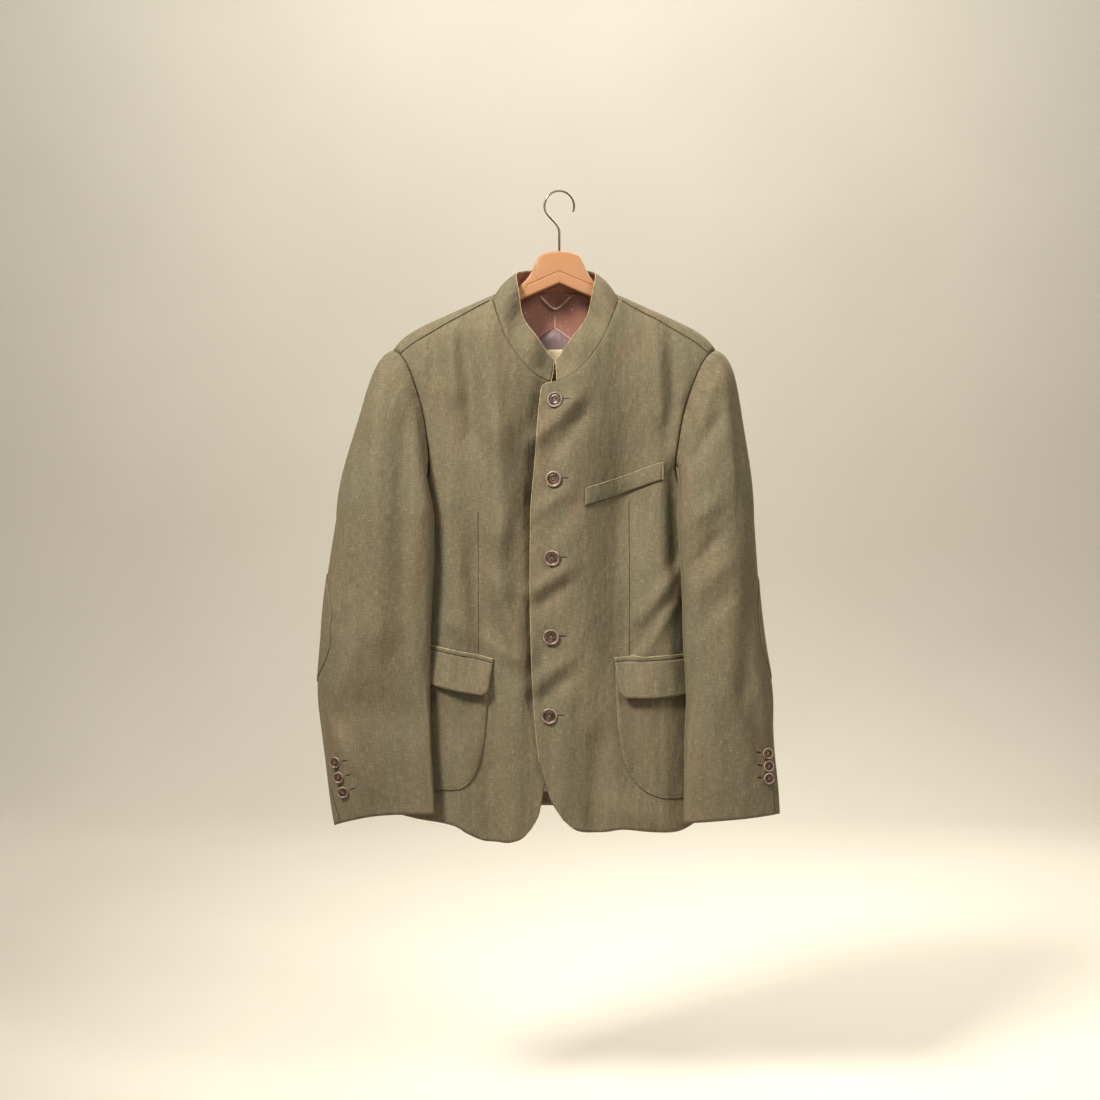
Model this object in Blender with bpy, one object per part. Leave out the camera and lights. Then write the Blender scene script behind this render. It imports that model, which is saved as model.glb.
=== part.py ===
"""A linen jacket with a stand collar, hanging on a wooden hanger.

Sizes are in millimetres and become metres when a mesh is made.
Across runs from the jacket's centre line toward the viewer's right, drop runs down from
the hook's seat, and depth is negative toward the viewer. Left and right are the wearer's.
"""
import math
from collections import namedtuple
from functools import cache

import bmesh
import bpy
from mathutils import Vector

METRES = 0.001
SHARP_ANGLE = 45
SEAM_GAP = 0.3
LIFT_GAP = 0.5

# Cloth thicknesses
BODY_WALL = 2.0
SLEEVE_WALL = 1.6
COLLAR_WALL = 2.6
POCKET_WALL = 1.2
FLAP_WALL = 1.6
WELT_WALL = 2.4
LINING_WALL = 1.0
LINING_GAP = 0.9
PATCH_WALL = 1.2
PATCH_GAP = 0.8

# How the jacket hangs: its centre line leans, and its shoulders come forward
CENTRE_AT_NECK = -5.3
CENTRE_LEAN = -0.018
NECK_DROP = 150.0
SHOULDER_FORWARD = 10.0
SHOULDER_REACH = 222.0
FORWARD_UNTIL = 250.0
FORWARD_GONE = 420.0

# The roll of the cloth over the shoulder ridge, and how soon the rows below it run level
RIDGE_ROLL = 20.0
RIDGE_LEVEL = 165.0
RIDGE_FADE = 240.0
CHART_TRIES = 25
ROUNDING_AT_NECK = 150.0
ROUNDING_LOSS = 80.0
SIDE_POWER = 2.5
FOLDS_FADE_FROM = 0.75
FOLD_END_SOFTNESS = 2.0

# The lap at centre front
LAP_LIFT = 2.0
LAP_FULL = 42.0
LAP_END = 85.0

# At the side seams the wall's rim runs toward the body's middle
SIDE_RIM_IN = 1.7
SIDE_RIM_DEPTH = 0.12

# Where each panel's corners fall, as shares of its height or width, and its rows between them
FRONT_UNDERARM = 0.52
FRONT_LAP = 0.885
FRONT_NECK = 0.91
FRONT_LOW_ROWS = 10
FRONT_CHEST_ROWS = 5
BACK_UNDERARM = 0.60
BACK_RIDGE = 0.91
BACK_SEAM = 0.3
BACK_LOW_ROWS = 7
BACK_BLADE_ROWS = 3
BACK_RIDGE_ROWS = 8

# Shares of the shoulder seam, from the neck, at the panels' columns
SHOULDER_COLUMNS = (0.0, 0.07, 0.17, 0.3, 0.44, 0.58, 0.71, 0.82, 0.92, 1.0)

LEFT = 1
RIGHT = -1
FRONT = -1
BACK = 1

Ridge = namedtuple("Ridge", "across drop")
RIDGE = (
    Ridge(0, 112),
    Ridge(30, 115.5),
    Ridge(85, 142.5),
    Ridge(153, 173.5),
    Ridge(189, 191),
    Ridge(210, 205.5),
    Ridge(224, 222),
)

Level = namedtuple("Level", "drop half_width front_depth back_depth")
LEVELS = (
    Level(100, 330, 60, 46),
    Level(223, 300, 62, 48),
    Level(300, 262, 63, 50),
    Level(376, 243, 63, 50),
    Level(431, 236, 63, 50),
    Level(560, 230, 61, 47),
    Level(700, 235, 60, 46),
    Level(900, 241, 58, 45),
)

# Soft folds seen from the front; height is toward the viewer
Fold = namedtuple("Fold", "x_top drop_top x_end drop_end width height")
BODY_FOLDS = (
    Fold(-95, 300, -90, 560, 34, 3.5),
    Fold(-45, 320, -40, 560, 22, -2.6),
    Fold(88, 200, 100, 310, 26, 3.0),
    Fold(-125, 230, -140, 330, 26, -3.5),
    Fold(120, 640, 60, 860, 30, 1.5),
    Fold(-75, 700, -70, 880, 26, 2.0),
    Fold(20, 700, 40, 850, 24, -1.5),
)
SLEEVE_FOLDS = (
    Fold(-292, 600, -318, 690, 12, -3.0),
    Fold(-255, 480, -275, 640, 26, 2.5),
    Fold(212, 290, 185, 400, 14, -3.0),
    Fold(232, 520, 222, 680, 24, 2.0),
    Fold(-225, 660, -210, 830, 24, -2.0),
    Fold(250, 690, 275, 760, 16, -2.0),
)

# The armhole seam from the underarm up the front, over the tip and down the back
Armhole = namedtuple("Armhole", "across drop side")
ARMHOLE = (
    Armhole(236, 431, FRONT),
    Armhole(212, 430, FRONT),
    Armhole(190, 425, FRONT),
    Armhole(175, 412, FRONT),
    Armhole(168, 383, FRONT),
    Armhole(172, 340, FRONT),
    Armhole(178.5, 306, FRONT),
    Armhole(188.6, 273, FRONT),
    Armhole(199, 247, FRONT),
    Armhole(211, 229, FRONT),
    Armhole(218.5, 224, FRONT),
    Armhole(222.6, 220.3, BACK),
    Armhole(218.5, 230, BACK),
    Armhole(210, 258, BACK),
    Armhole(204, 300, BACK),
    Armhole(202, 345, BACK),
    Armhole(207, 385, BACK),
    Armhole(219, 416, BACK),
    Armhole(236, 431, BACK),
)
UNDERARM_FRONT = 0
FRONT_NOTCH = 4
SHOULDER_SEAM = 10
SHOULDER_TIP = 11
HIND_SEAM = 14
UNDERARM_BACK = 18

# The neck seam from centre back to centre front, and the collar's free edge above it
Neck = namedtuple("Neck", "across drop side top_across top_drop top_depth")
NECK = (
    Neck(0, 140, BACK, 0, 103, 30),
    Neck(40, 141.5, BACK, 29, 104.5, 26),
    Neck(70, 145.5, BACK, 47, 108, 14),
    Neck(86.5, 143.2, BACK, 54, 112, 0),
    Neck(84.5, 155, FRONT, 54, 123, -13),
    Neck(77.3, 181, FRONT, 49.5, 150, -24),
    Neck(66.5, 207.5, FRONT, 42.5, 176, -30),
    Neck(57.3, 222.6, FRONT, 36, 192, -34),
    Neck(43.5, 241.7, FRONT, 25, 210.5, -38),
    Neck(25.7, 259, FRONT, 12.5, 224, -41),
    Neck(4.2, 269.8, FRONT, 0.9, 236.5, -43),
)
NECK_AT_SEAM = 3
NECK_END = 10
NECK_BACK_STEPS = 5
NECK_FRONT_STEPS = 8
COLLAR_BULGE = 2.5
COLLAR_GAP = 0.5
COLLAR_ROWS = 3

# Front edges from the rounded lower corner up to the lap's top corner
Edge = namedtuple("Edge", "across drop")
FRONT_EDGE = {
    LEFT: (
        Edge(22.8, 861.5), Edge(7.4, 838), Edge(-2.4, 811.5), Edge(-11.2, 778), Edge(-16.7, 737),
        Edge(-22, 671), Edge(-26.2, 590), Edge(-28, 510), Edge(-28, 435), Edge(-23.8, 377),
        Edge(-20.8, 320), Edge(-17.5, 279),
    ),
    RIGHT: (
        Edge(20.3, 875), Edge(11, 858.8), Edge(7.3, 842.6), Edge(2.4, 814), Edge(-8, 780),
        Edge(-16, 740), Edge(-22, 671), Edge(-26, 590), Edge(-27, 510), Edge(-27, 435),
        Edge(-22, 350), Edge(-17.5, 279),
    ),
}
LAP_TOP = (Edge(-17.5, 279), Edge(-13, 273.6), Edge(4.2, 269.8))
HEM = {
    LEFT: (
        Edge(22.8, 861.5), Edge(39.2, 875), Edge(55.5, 879.6), Edge(77, 879.6), Edge(104, 876.4),
        Edge(139, 880.4), Edge(175.5, 881.8), Edge(195, 876.4), Edge(216, 864), Edge(239, 851),
    ),
    RIGHT: (
        Edge(20.3, 875), Edge(32, 887), Edge(49.5, 892.6), Edge(62, 892.6), Edge(83, 891.2),
        Edge(105, 881.8), Edge(121.5, 872.3), Edge(145, 868), Edge(180, 864.2), Edge(226, 855),
        Edge(239, 851),
    ),
}
BACK_HEM_SIDE = 851.0
BACK_HEM_CENTRE = 858.0

# Sleeves, ring by ring: the fold lines, and how far the cloth stands off the line between them
Ring = namedtuple("Ring", "drop inner_x inner_y outer_x outer_y front back")
SLEEVE_RINGS = {
    RIGHT: (
        Ring(455, -169.5, -64, -303, -22, 38, 20),
        Ring(510, -169.3, -64, -312.7, -22, 35, 21),
        Ring(565, -172, -63, -321, -22, 32, 21),
        Ring(618, -174, -62, -325.5, -22, 30, 21),
        Ring(690, -174.7, -62, -330.5, -24, 28, 20),
        Ring(752, -173.4, -62, -323.7, -28, 24, 18),
        Ring(818, -169.3, -62, -314, -34, 18, 15),
        Ring(854, -168.1, -62, -307, -38, 14, 13),
    ),
    LEFT: (
        Ring(455, 159, -66, 262, -14, 38, 16),
        Ring(510, 163, -65, 266, -13, 38, 17),
        Ring(565, 166, -64, 271, -12, 37, 17),
        Ring(618, 167, -64, 278, -12, 36, 18),
        Ring(690, 171, -64, 290.5, -12, 33, 18),
        Ring(752, 168.5, -65, 292.5, -16, 28, 17),
        Ring(818, 167, -67, 298.5, -26, 20, 14),
        Ring(864, 166, -68, 301.4, -33, 15, 12),
    ),
}
RING_FULLNESS = 0.8
ARMHOLE_GAP = 0.45
SLEEVE_LEVELS = (455, 482, 515, 552, 590, 628, 666, 704, 742, 780, 812, 838)
CUFF_SLANT_START = 770.0
CUFF_SLANT = {RIGHT: 18.0, LEFT: -8.0}
CUFF_SLANT_POWER = {RIGHT: 4, LEFT: 1}
SLEEVE_COLUMNS = 24
CAP_ROWS = 6

# How the sleeve leaves its seam, round from the front notch; turn counts round the sleeve
Leave = namedtuple("Leave", "turn out forward down length lift")
SLEEVE_HEAD = (
    Leave(0.00, 0.45, 0.85, 0.20, 16, 25),
    Leave(0.10, 0.65, 0.65, 0.40, 24, 60),
    Leave(0.20, 0.80, 0.45, 0.35, 34, 100),
    Leave(0.32, 0.93, 0.05, 0.32, 40, 120),
    Leave(0.42, 0.85, -0.40, 0.32, 44, 110),
    Leave(0.50, 0.85, -0.40, 0.35, 40, 70),
    Leave(0.60, 0.98, -0.10, 0.00, 24, 30),
    Leave(0.66, 0.90, 0.40, 0.40, 6, 8),
    Leave(0.74, 0.20, 0.95, 0.00, 9, 8),
    Leave(0.82, 0.00, 1.00, 0.00, 10, 9),
    Leave(0.90, 0.10, 1.00, 0.00, 12, 12),
    Leave(1.00, 0.45, 0.85, 0.20, 16, 25),
)
TIP_TURN = 0.32
HIND_TURN = 0.5
UNDERARM_BACK_STEPS = 4
UNDERARM_FRONT_STEPS = 8
UNDER_TURN = 1 - UNDERARM_FRONT_STEPS / SLEEVE_COLUMNS
UNDERARM_LIFT_FROM = 0.1

# Pockets: inner and outer edges at each drop
Span = namedtuple("Span", "drop inner outer")
POCKET = {
    LEFT: (
        Span(656, 90.5, 224), Span(697, 91.7, 224), Span(751, 96.7, 223), Span(784, 104, 220),
        Span(807, 115.3, 214), Span(825.5, 133.3, 203), Span(834.4, 152.5, 190),
        Span(836.5, 163, 182),
    ),
    RIGHT: (
        Span(653, 80, 222), Span(697, 81.7, 222), Span(738, 83.7, 220), Span(767, 87.3, 217),
        Span(794, 93.5, 210), Span(812, 104, 197), Span(821, 117.5, 182), Span(823, 131, 170),
    ),
}
POCKET_ROWS = 9
POCKET_COLUMNS = 8
POCKET_ROW_POWER = 1.6
Flap = namedtuple("Flap", "inner outer top slope height lean corner")
FLAP = {
    LEFT: Flap(87.5, 226, 643.3, -0.049, 56.0, 0.12, 6.0),
    RIGHT: Flap(75.0, 224, 643.3, -0.211, 52.5, 0.10, 6.0),
}
FLAP_WELT_HEIGHT = 6.5
FLAP_WELT_WALL = 3.4
FLAP_WELT_EDGE = 0.75
FLAP_WELT_ROWS = 2
FLAP_ROWS = 5
FLAP_COLUMNS = 9

# Chest welt corners
Welt = namedtuple("Welt", "inner outer top_inner top_outer height")
CHEST_WELT = Welt(44.0, 149.5, 414.0, 377.5, 24.0)
CHEST_WELT_ROWS = 2
CHEST_WELT_COLUMNS = 8

# Buttons
FRONT_BUTTON_RADIUS = 11.0
FRONT_BUTTON_ACROSS = 2.0
FRONT_BUTTON_FIRST = 295.0
FRONT_BUTTON_SPACING = 106.5
FRONT_BUTTONS = 5
FRONT_BUTTON_SIDES = 18
CUFF_BUTTON_RADIUS = 7.75
CUFF_BUTTON_GAP = 0.8
CUFF_BUTTON_SIDES = 14
CUFF_BUTTON_TURNS = (0.05, 0.48)
CUFF_BUTTON_TRIES = 200
CUFF_BUTTONS = {
    RIGHT: (Edge(-300.3, 782), Edge(-295.5, 800), Edge(-289.8, 817.5)),
    LEFT: (Edge(281.3, 773.5), Edge(282.6, 791.5), Edge(282, 809.5)),
}
# A button's turned profile, as shares of its radius
Turn = namedtuple("Turn", "radius height")
BUTTON_PROFILE = (
    Turn(0.80, 0.00), Turn(1.00, 0.13), Turn(1.00, 0.23), Turn(0.90, 0.34),
    Turn(0.76, 0.32), Turn(0.66, 0.22),
)

# Elbow patches, round the hind fold
ELBOW_DROP = 603.0
ELBOW_HALF_HEIGHT = 78.0
ELBOW_FIRST_COLUMN = 9
ELBOW_LAST_COLUMN = 17
ELBOW_ROWS = 8
ELBOW_ROUNDNESS = 0.9

# Inside the back of the neck
FACING_HALF_WIDTH = 63.0
FACING_START = 7.0
FACING_CENTRE_DROP = 183.0
FACING_SLOPE = 0.72
LINING_COLUMNS = (-175, -140, -105, -70, -35, 0, 35, 70, 105, 140, 175)
LINING_END = 838.0
LINING_ROWS = 11
FACING_ROWS = 5
FACING_COLUMNS = 12
LOOP_HALF_WIDTH = 21.0
LOOP_TOP = 150.0
LOOP_BOTTOM = 165.0
LOOP_RADIUS = 1.5
LOOP_STAND_OFF = 0.4
LOOP_SAG_POWER = 1.3
LOOP_SAG_FORWARD = 1.5
LOOP_STEPS = 14
LOOP_SIDES = 6

# The hanger's outline at the middle; farther out it follows the shoulder
Bar = namedtuple("Bar", "across top bottom half_depth")
HANGER_HEAD = (
    Bar(0.15, 82.4, 128.2, 7.5),
    Bar(14, 84.0, 134.2, 7.5),
    Bar(24, 87.2, 138.5, 7.5),
    Bar(29, 91.0, 140.6, 7.5),
    Bar(34, 101.0, 142.8, 7.3),
    Bar(38.5, 111.5, 144.7, 7.0),
    Bar(47, 123.2, 148.4, 6.5),
    Bar(59, 134.0, 155.0, 6.5),
    Bar(71, 147.5, 166.0, 6.5),
    Bar(84, 150.0, 171.0, 7.0),
    Bar(97, 153.8, 175.5, 7.5),
)
HANGER_ARM_ACROSS = (112, 130, 148, 165, 180, 192)
HANGER_ARM_HEIGHT = 22.0
HANGER_ARM_HALF_DEPTH = 7.5
HANGER_EDGE = 3.5
HANGER_ARM_EDGE = 5.0
HANGER_GAP = 1.25
HOOK_WIRE = 1.5
HOOK_INNER_RADIUS = 19.0
HOOK_STEM_TOP = 56.0
HOOK_TIP_ANGLE = -25
HOOK_LEAVE_ANGLE = 222
HOOK_LEAVE_REACH = 12.0
HOOK_STEM_REACH = 10.0
HOOK_CROOK_STEPS = 20
HOOK_BEND_STEPS = 6
HOOK_SIDES = 8

# Colours and finishes
Finish = namedtuple("Finish", "colour roughness metallic")
FINISHES = {
    "linen": Finish("#71654f", 0.85, 0.0),
    "horn": Finish("#3a2a22", 0.35, 0.0),
    "facing_satin": Finish("#6b4a42", 0.45, 0.0),
    "lining_satin": Finish("#5d5158", 0.45, 0.0),
    "loop_satin": Finish("#b0918a", 0.5, 0.0),
    "beech": Finish("#d59a63", 0.45, 0.0),
    "hook_steel": Finish("#b5b2aa", 0.3, 1.0),
}


def curve(keys, values, at):
    """A smooth line through the values, straight beyond both ends."""
    last = len(keys) - 1
    slopes = []
    for i in range(last + 1):
        low = max(i - 1, 0)
        high = min(i + 1, last)
        slopes.append((values[high] - values[low]) / (keys[high] - keys[low]))
    if at <= keys[0]:
        return values[0] + slopes[0] * (at - keys[0])
    if at >= keys[last]:
        return values[last] + slopes[last] * (at - keys[last])
    i = max(k for k in range(last) if keys[k] <= at)
    span = keys[i + 1] - keys[i]
    t = (at - keys[i]) / span
    return (values[i] * (2 * t**3 - 3 * t**2 + 1) + slopes[i] * span * (t**3 - 2 * t**2 + t)
            + values[i + 1] * (3 * t**2 - 2 * t**3) + slopes[i + 1] * span * (t**3 - t**2))


def column(table, name, at):
    """A table's named column at a value of its first column."""
    return curve([row[0] for row in table], [getattr(row, name) for row in table], at)


def smooth_step(low, high, value):
    share = min(max((value - low) / (high - low), 0.0), 1.0)
    return share * share * (3 - 2 * share)


def spread(count, low=0.0, high=1.0):
    return [low + (high - low) * i / count for i in range(count + 1)]


class Path:
    """A smooth line through points of the (across, along) chart, by share of its length."""

    def __init__(self, points):
        self.points = points
        self.keys = [0.0]
        for here, there in zip(points, points[1:]):
            self.keys.append(self.keys[-1] + math.dist(here, there))

    def key(self, index):
        return self.keys[index] / self.keys[-1]

    def at(self, share):
        place = share * self.keys[-1]
        return tuple(curve(self.keys, [p[i] for p in self.points], place) for i in range(2))

    def between(self, first, last, share):
        return self.at(self.key(first) + (self.key(last) - self.key(first)) * share)


def shoulder_forward(across, drop):
    """How far the shoulders come toward the viewer."""
    fade = 1 - smooth_step(FORWARD_UNTIL, FORWARD_GONE, drop)
    return SHOULDER_FORWARD * (across / SHOULDER_REACH) ** 2 * fade


def centre_line(drop):
    return CENTRE_AT_NECK + CENTRE_LEAN * (drop - NECK_DROP)


def ridge_drop(across):
    return column(RIDGE, "drop", abs(across))


def hung_drop(across, below):
    """The drop that far below the ridge; rows run level once the ridge's slope has faded."""
    ease = 1 - smooth_step(0.0, RIDGE_FADE, below)
    return RIDGE_LEVEL + below + (ridge_drop(across) - RIDGE_LEVEL) * ease


def chart(across, drop, side):
    """Distance along the cloth from the shoulder ridge, negative on the front."""
    below = max(drop - ridge_drop(across), 0.0)
    for _ in range(CHART_TRIES):
        below = max(below + drop - hung_drop(across, below), 0.0)
    return side * math.sqrt((below + RIDGE_ROLL) ** 2 - RIDGE_ROLL**2)


def charted(rows, side, turn=1):
    return [(turn * row.across, chart(row.across, row.drop, side)) for row in rows]


def fold_height(folds, x, drop):
    """How far the folds bring the cloth toward the viewer here."""
    height = 0.0
    for fold in folds:
        length = math.hypot(fold.x_end - fold.x_top, fold.drop_end - fold.drop_top)
        way_x = (fold.x_end - fold.x_top) / length
        way_d = (fold.drop_end - fold.drop_top) / length
        along = (x - fold.x_top) * way_x + (drop - fold.drop_top) * way_d
        off = (x - fold.x_top) * way_d - (drop - fold.drop_top) * way_x
        past = max(-along, along - length, 0.0) / (FOLD_END_SOFTNESS * fold.width)
        height += fold.height * math.exp(-((off / fold.width) ** 2) - past**2)
    return height


def body_point(across, along, lap=0):
    """A point of the body's outer face; lap is LEFT, RIGHT or 0 for no overlap."""
    below = math.hypot(along, RIDGE_ROLL) - RIDGE_ROLL
    drop = hung_drop(across, below)
    rounding = ROUNDING_AT_NECK - ROUNDING_LOSS * (across / SHOULDER_REACH) ** 2
    rise = math.sqrt(1 - (1 - min(below / rounding, 1.0)) ** 2)
    half_width = column(LEVELS, "half_width", drop)
    depth = column(LEVELS, "front_depth" if along < 0 else "back_depth", drop)
    depth *= rise * (1 - min(abs(across) / half_width, 1.0) ** SIDE_POWER)
    x = across + centre_line(drop)
    y = -shoulder_forward(across, drop)
    if along < 0:
        inside = 1 - smooth_step(FOLDS_FADE_FROM, 1.0, abs(across) / half_width)
        y -= depth + fold_height(BODY_FOLDS, x, drop) * rise * inside
        y -= lap * LAP_LIFT * (1 - smooth_step(LAP_FULL, LAP_END, abs(across)))
    else:
        y += depth
    return Vector((x, y, -drop))


def body_normal(across, along, lap=0):
    step = 0.5
    over_across = body_point(across + step, along, lap) - body_point(across - step, along, lap)
    over_along = body_point(across, along + step, lap) - body_point(across, along - step, lap)
    return over_across.cross(over_along).normalized()


def on_front(side, across, drop, height):
    """A point above the front on that side; across counts outward from the centre line."""
    along = chart(across, drop, FRONT)
    return body_point(side * across, along, side) + height * body_normal(side * across, along, side)


def seam_way(across, along):
    """The way down the front from a point of the shoulder seam."""
    return (body_point(across, along - 1.0) - body_point(across, along)).normalized()


def coons(left, right, bottom, top, s, v):
    """A point of the patch between four edges."""
    corners = (bottom(0.0), bottom(1.0), top(0.0), top(1.0))
    point = []
    for i in range(2):
        sides = (1 - s) * left(v)[i] + s * right(v)[i]
        ends = (1 - v) * bottom(s)[i] + v * top(s)[i]
        low = (1 - s) * corners[0][i] + s * corners[1][i]
        high = (1 - s) * corners[2][i] + s * corners[3][i]
        point.append(sides + ends - (1 - v) * low - v * high)
    return point


def linear(colour):
    """An sRGB hex colour as linear values."""
    shares = [int(colour[i:i + 2], 16) / 255 for i in (1, 3, 5)]
    return [c / 12.92 if c <= 0.04045 else ((c + 0.055) / 1.055) ** 2.4 for c in shares]


def make_material(name, finish):
    material = bpy.data.materials.new(name)
    material.use_nodes = True
    shader = material.node_tree.nodes["Principled BSDF"]
    shader.inputs["Base Color"].default_value = (*linear(finish.colour), 1.0)
    shader.inputs["Roughness"].default_value = finish.roughness
    shader.inputs["Metallic"].default_value = finish.metallic
    material.diffuse_color = (*linear(finish.colour), 1.0)
    return material


def add_object(name, mesh_maker, finish):
    """Turns a filled bmesh into a named object in metres."""
    bmesh.ops.scale(mesh_maker, vec=Vector((METRES, METRES, METRES)), verts=mesh_maker.verts)
    bmesh.ops.recalc_face_normals(mesh_maker, faces=mesh_maker.faces)
    if mesh_maker.calc_volume(signed=True) < 0:
        bmesh.ops.reverse_faces(mesh_maker, faces=mesh_maker.faces)
    mesh = bpy.data.meshes.new(name)
    mesh_maker.to_mesh(mesh)
    mesh_maker.free()
    mesh.materials.append(make_material(f"{name}_{finish}", FINISHES[finish]))
    mesh.shade_smooth()
    mesh.set_sharp_from_angle(angle=math.radians(SHARP_ANGLE))
    item = bpy.data.objects.new(name, mesh)
    bpy.context.scene.collection.objects.link(item)
    return item


def add_wall(name, outer, inner, finish):
    """A closed wall between two grids of points, rows by columns."""
    maker = bmesh.new()
    faces = [[[maker.verts.new(p) for p in row] for row in grid] for grid in (outer, inner)]
    last_row = len(outer) - 1
    last_column = len(outer[0]) - 1
    for grid in faces:
        for i in range(last_row):
            for j in range(last_column):
                maker.faces.new((grid[i][j], grid[i][j + 1], grid[i + 1][j + 1], grid[i + 1][j]))
    rim = [(0, j) for j in range(last_column)]
    rim += [(i, last_column) for i in range(last_row)]
    rim += [(last_row, j) for j in range(last_column, 0, -1)]
    rim += [(i, 0) for i in range(last_row, 0, -1)]
    for (i, j), (k, m) in zip(rim, rim[1:] + rim[:1]):
        maker.faces.new((faces[0][i][j], faces[0][k][m], faces[1][k][m], faces[1][i][j]))
    return add_object(name, maker, finish)


def add_tube(name, points, radius, sides, finish, normal):
    """A round bar along points that lie square to the normal."""
    maker = bmesh.new()
    rings = []
    for i, point in enumerate(points):
        way = (points[min(i + 1, len(points) - 1)] - points[max(i - 1, 0)]).normalized()
        out = way.cross(normal).normalized()
        ring = []
        for k in range(sides):
            angle = math.tau * k / sides
            spoke = math.cos(angle) * out + math.sin(angle) * normal
            ring.append(maker.verts.new(point + radius * spoke))
        rings.append(ring)
    for low, high in zip(rings, rings[1:]):
        for k in range(sides):
            m = (k + 1) % sides
            maker.faces.new((low[k], low[m], high[m], high[k]))
    maker.faces.new(rings[0])
    maker.faces.new(rings[-1])
    return add_object(name, maker, finish)


def shoulder_seam(share):
    start = neck_path().points[NECK_AT_SEAM]
    end = armhole_path().points[SHOULDER_SEAM]
    return tuple(a + (b - a) * share for a, b in zip(start, end))


@cache
def armhole_path():
    return Path([(row.across, chart(row.across, row.drop, row.side)) for row in ARMHOLE])


@cache
def neck_path():
    return Path([(row.across, chart(row.across, row.drop, row.side)) for row in NECK])


def side_seam(share, side, hem_drop):
    """Chart point of the side seam, from the hem up to the underarm."""
    drop = hem_drop + (ARMHOLE[0].drop - hem_drop) * share
    across = column(LEVELS, "half_width", drop)
    return across, chart(across, drop, side)


def build_front(side, name):
    """One front panel, bounded by its edge and neck, armhole and side, hem and shoulder."""
    edge = Path(charted(FRONT_EDGE[side], FRONT))
    lap_top = Path(charted(LAP_TOP, FRONT))
    hem = Path(charted(HEM[side], FRONT))
    neck = neck_path()
    armhole = armhole_path()

    def inner_edge(v):
        if v <= FRONT_LAP:
            return edge.at(v / FRONT_LAP)
        if v <= FRONT_NECK:
            return lap_top.at((v - FRONT_LAP) / (FRONT_NECK - FRONT_LAP))
        return neck.between(NECK_END, NECK_AT_SEAM, (v - FRONT_NECK) / (1 - FRONT_NECK))

    def outer_edge(v):
        if v <= FRONT_UNDERARM:
            return side_seam(v / FRONT_UNDERARM, FRONT, HEM[side][-1].drop)
        share = (v - FRONT_UNDERARM) / (1 - FRONT_UNDERARM)
        return armhole.between(UNDERARM_FRONT, SHOULDER_SEAM, share)

    to_notch = armhole.key(FRONT_NOTCH) / armhole.key(SHOULDER_SEAM)
    notch_share = FRONT_UNDERARM + (1 - FRONT_UNDERARM) * to_notch
    shares = spread(FRONT_LOW_ROWS, 0, FRONT_UNDERARM)
    shares += spread(UNDERARM_FRONT_STEPS, FRONT_UNDERARM, notch_share)[1:]
    shares += spread(FRONT_CHEST_ROWS, notch_share, FRONT_LAP)[1:]
    shares += spread(NECK_FRONT_STEPS, FRONT_NECK, 1.0)
    outer = []
    inner = []
    for v in shares:
        outer_row = []
        inner_row = []
        for s in SHOULDER_COLUMNS:
            across, along = coons(inner_edge, outer_edge, hem.at, shoulder_seam, s, v)
            point = body_point(side * across, along, side)
            inward = -body_normal(side * across, along, side)
            if s == 1.0 and v <= FRONT_UNDERARM:
                point.y -= SEAM_GAP
                inward = Vector((-side * SIDE_RIM_IN, -SIDE_RIM_DEPTH, 0.0))
            if v == 1.0:
                point += SEAM_GAP * seam_way(side * across, along)
            outer_row.append(point)
            inner_row.append(point + BODY_WALL * inward)
        outer.append(outer_row)
        inner.append(inner_row)
    add_wall(name, outer, inner, "linen")


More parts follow.
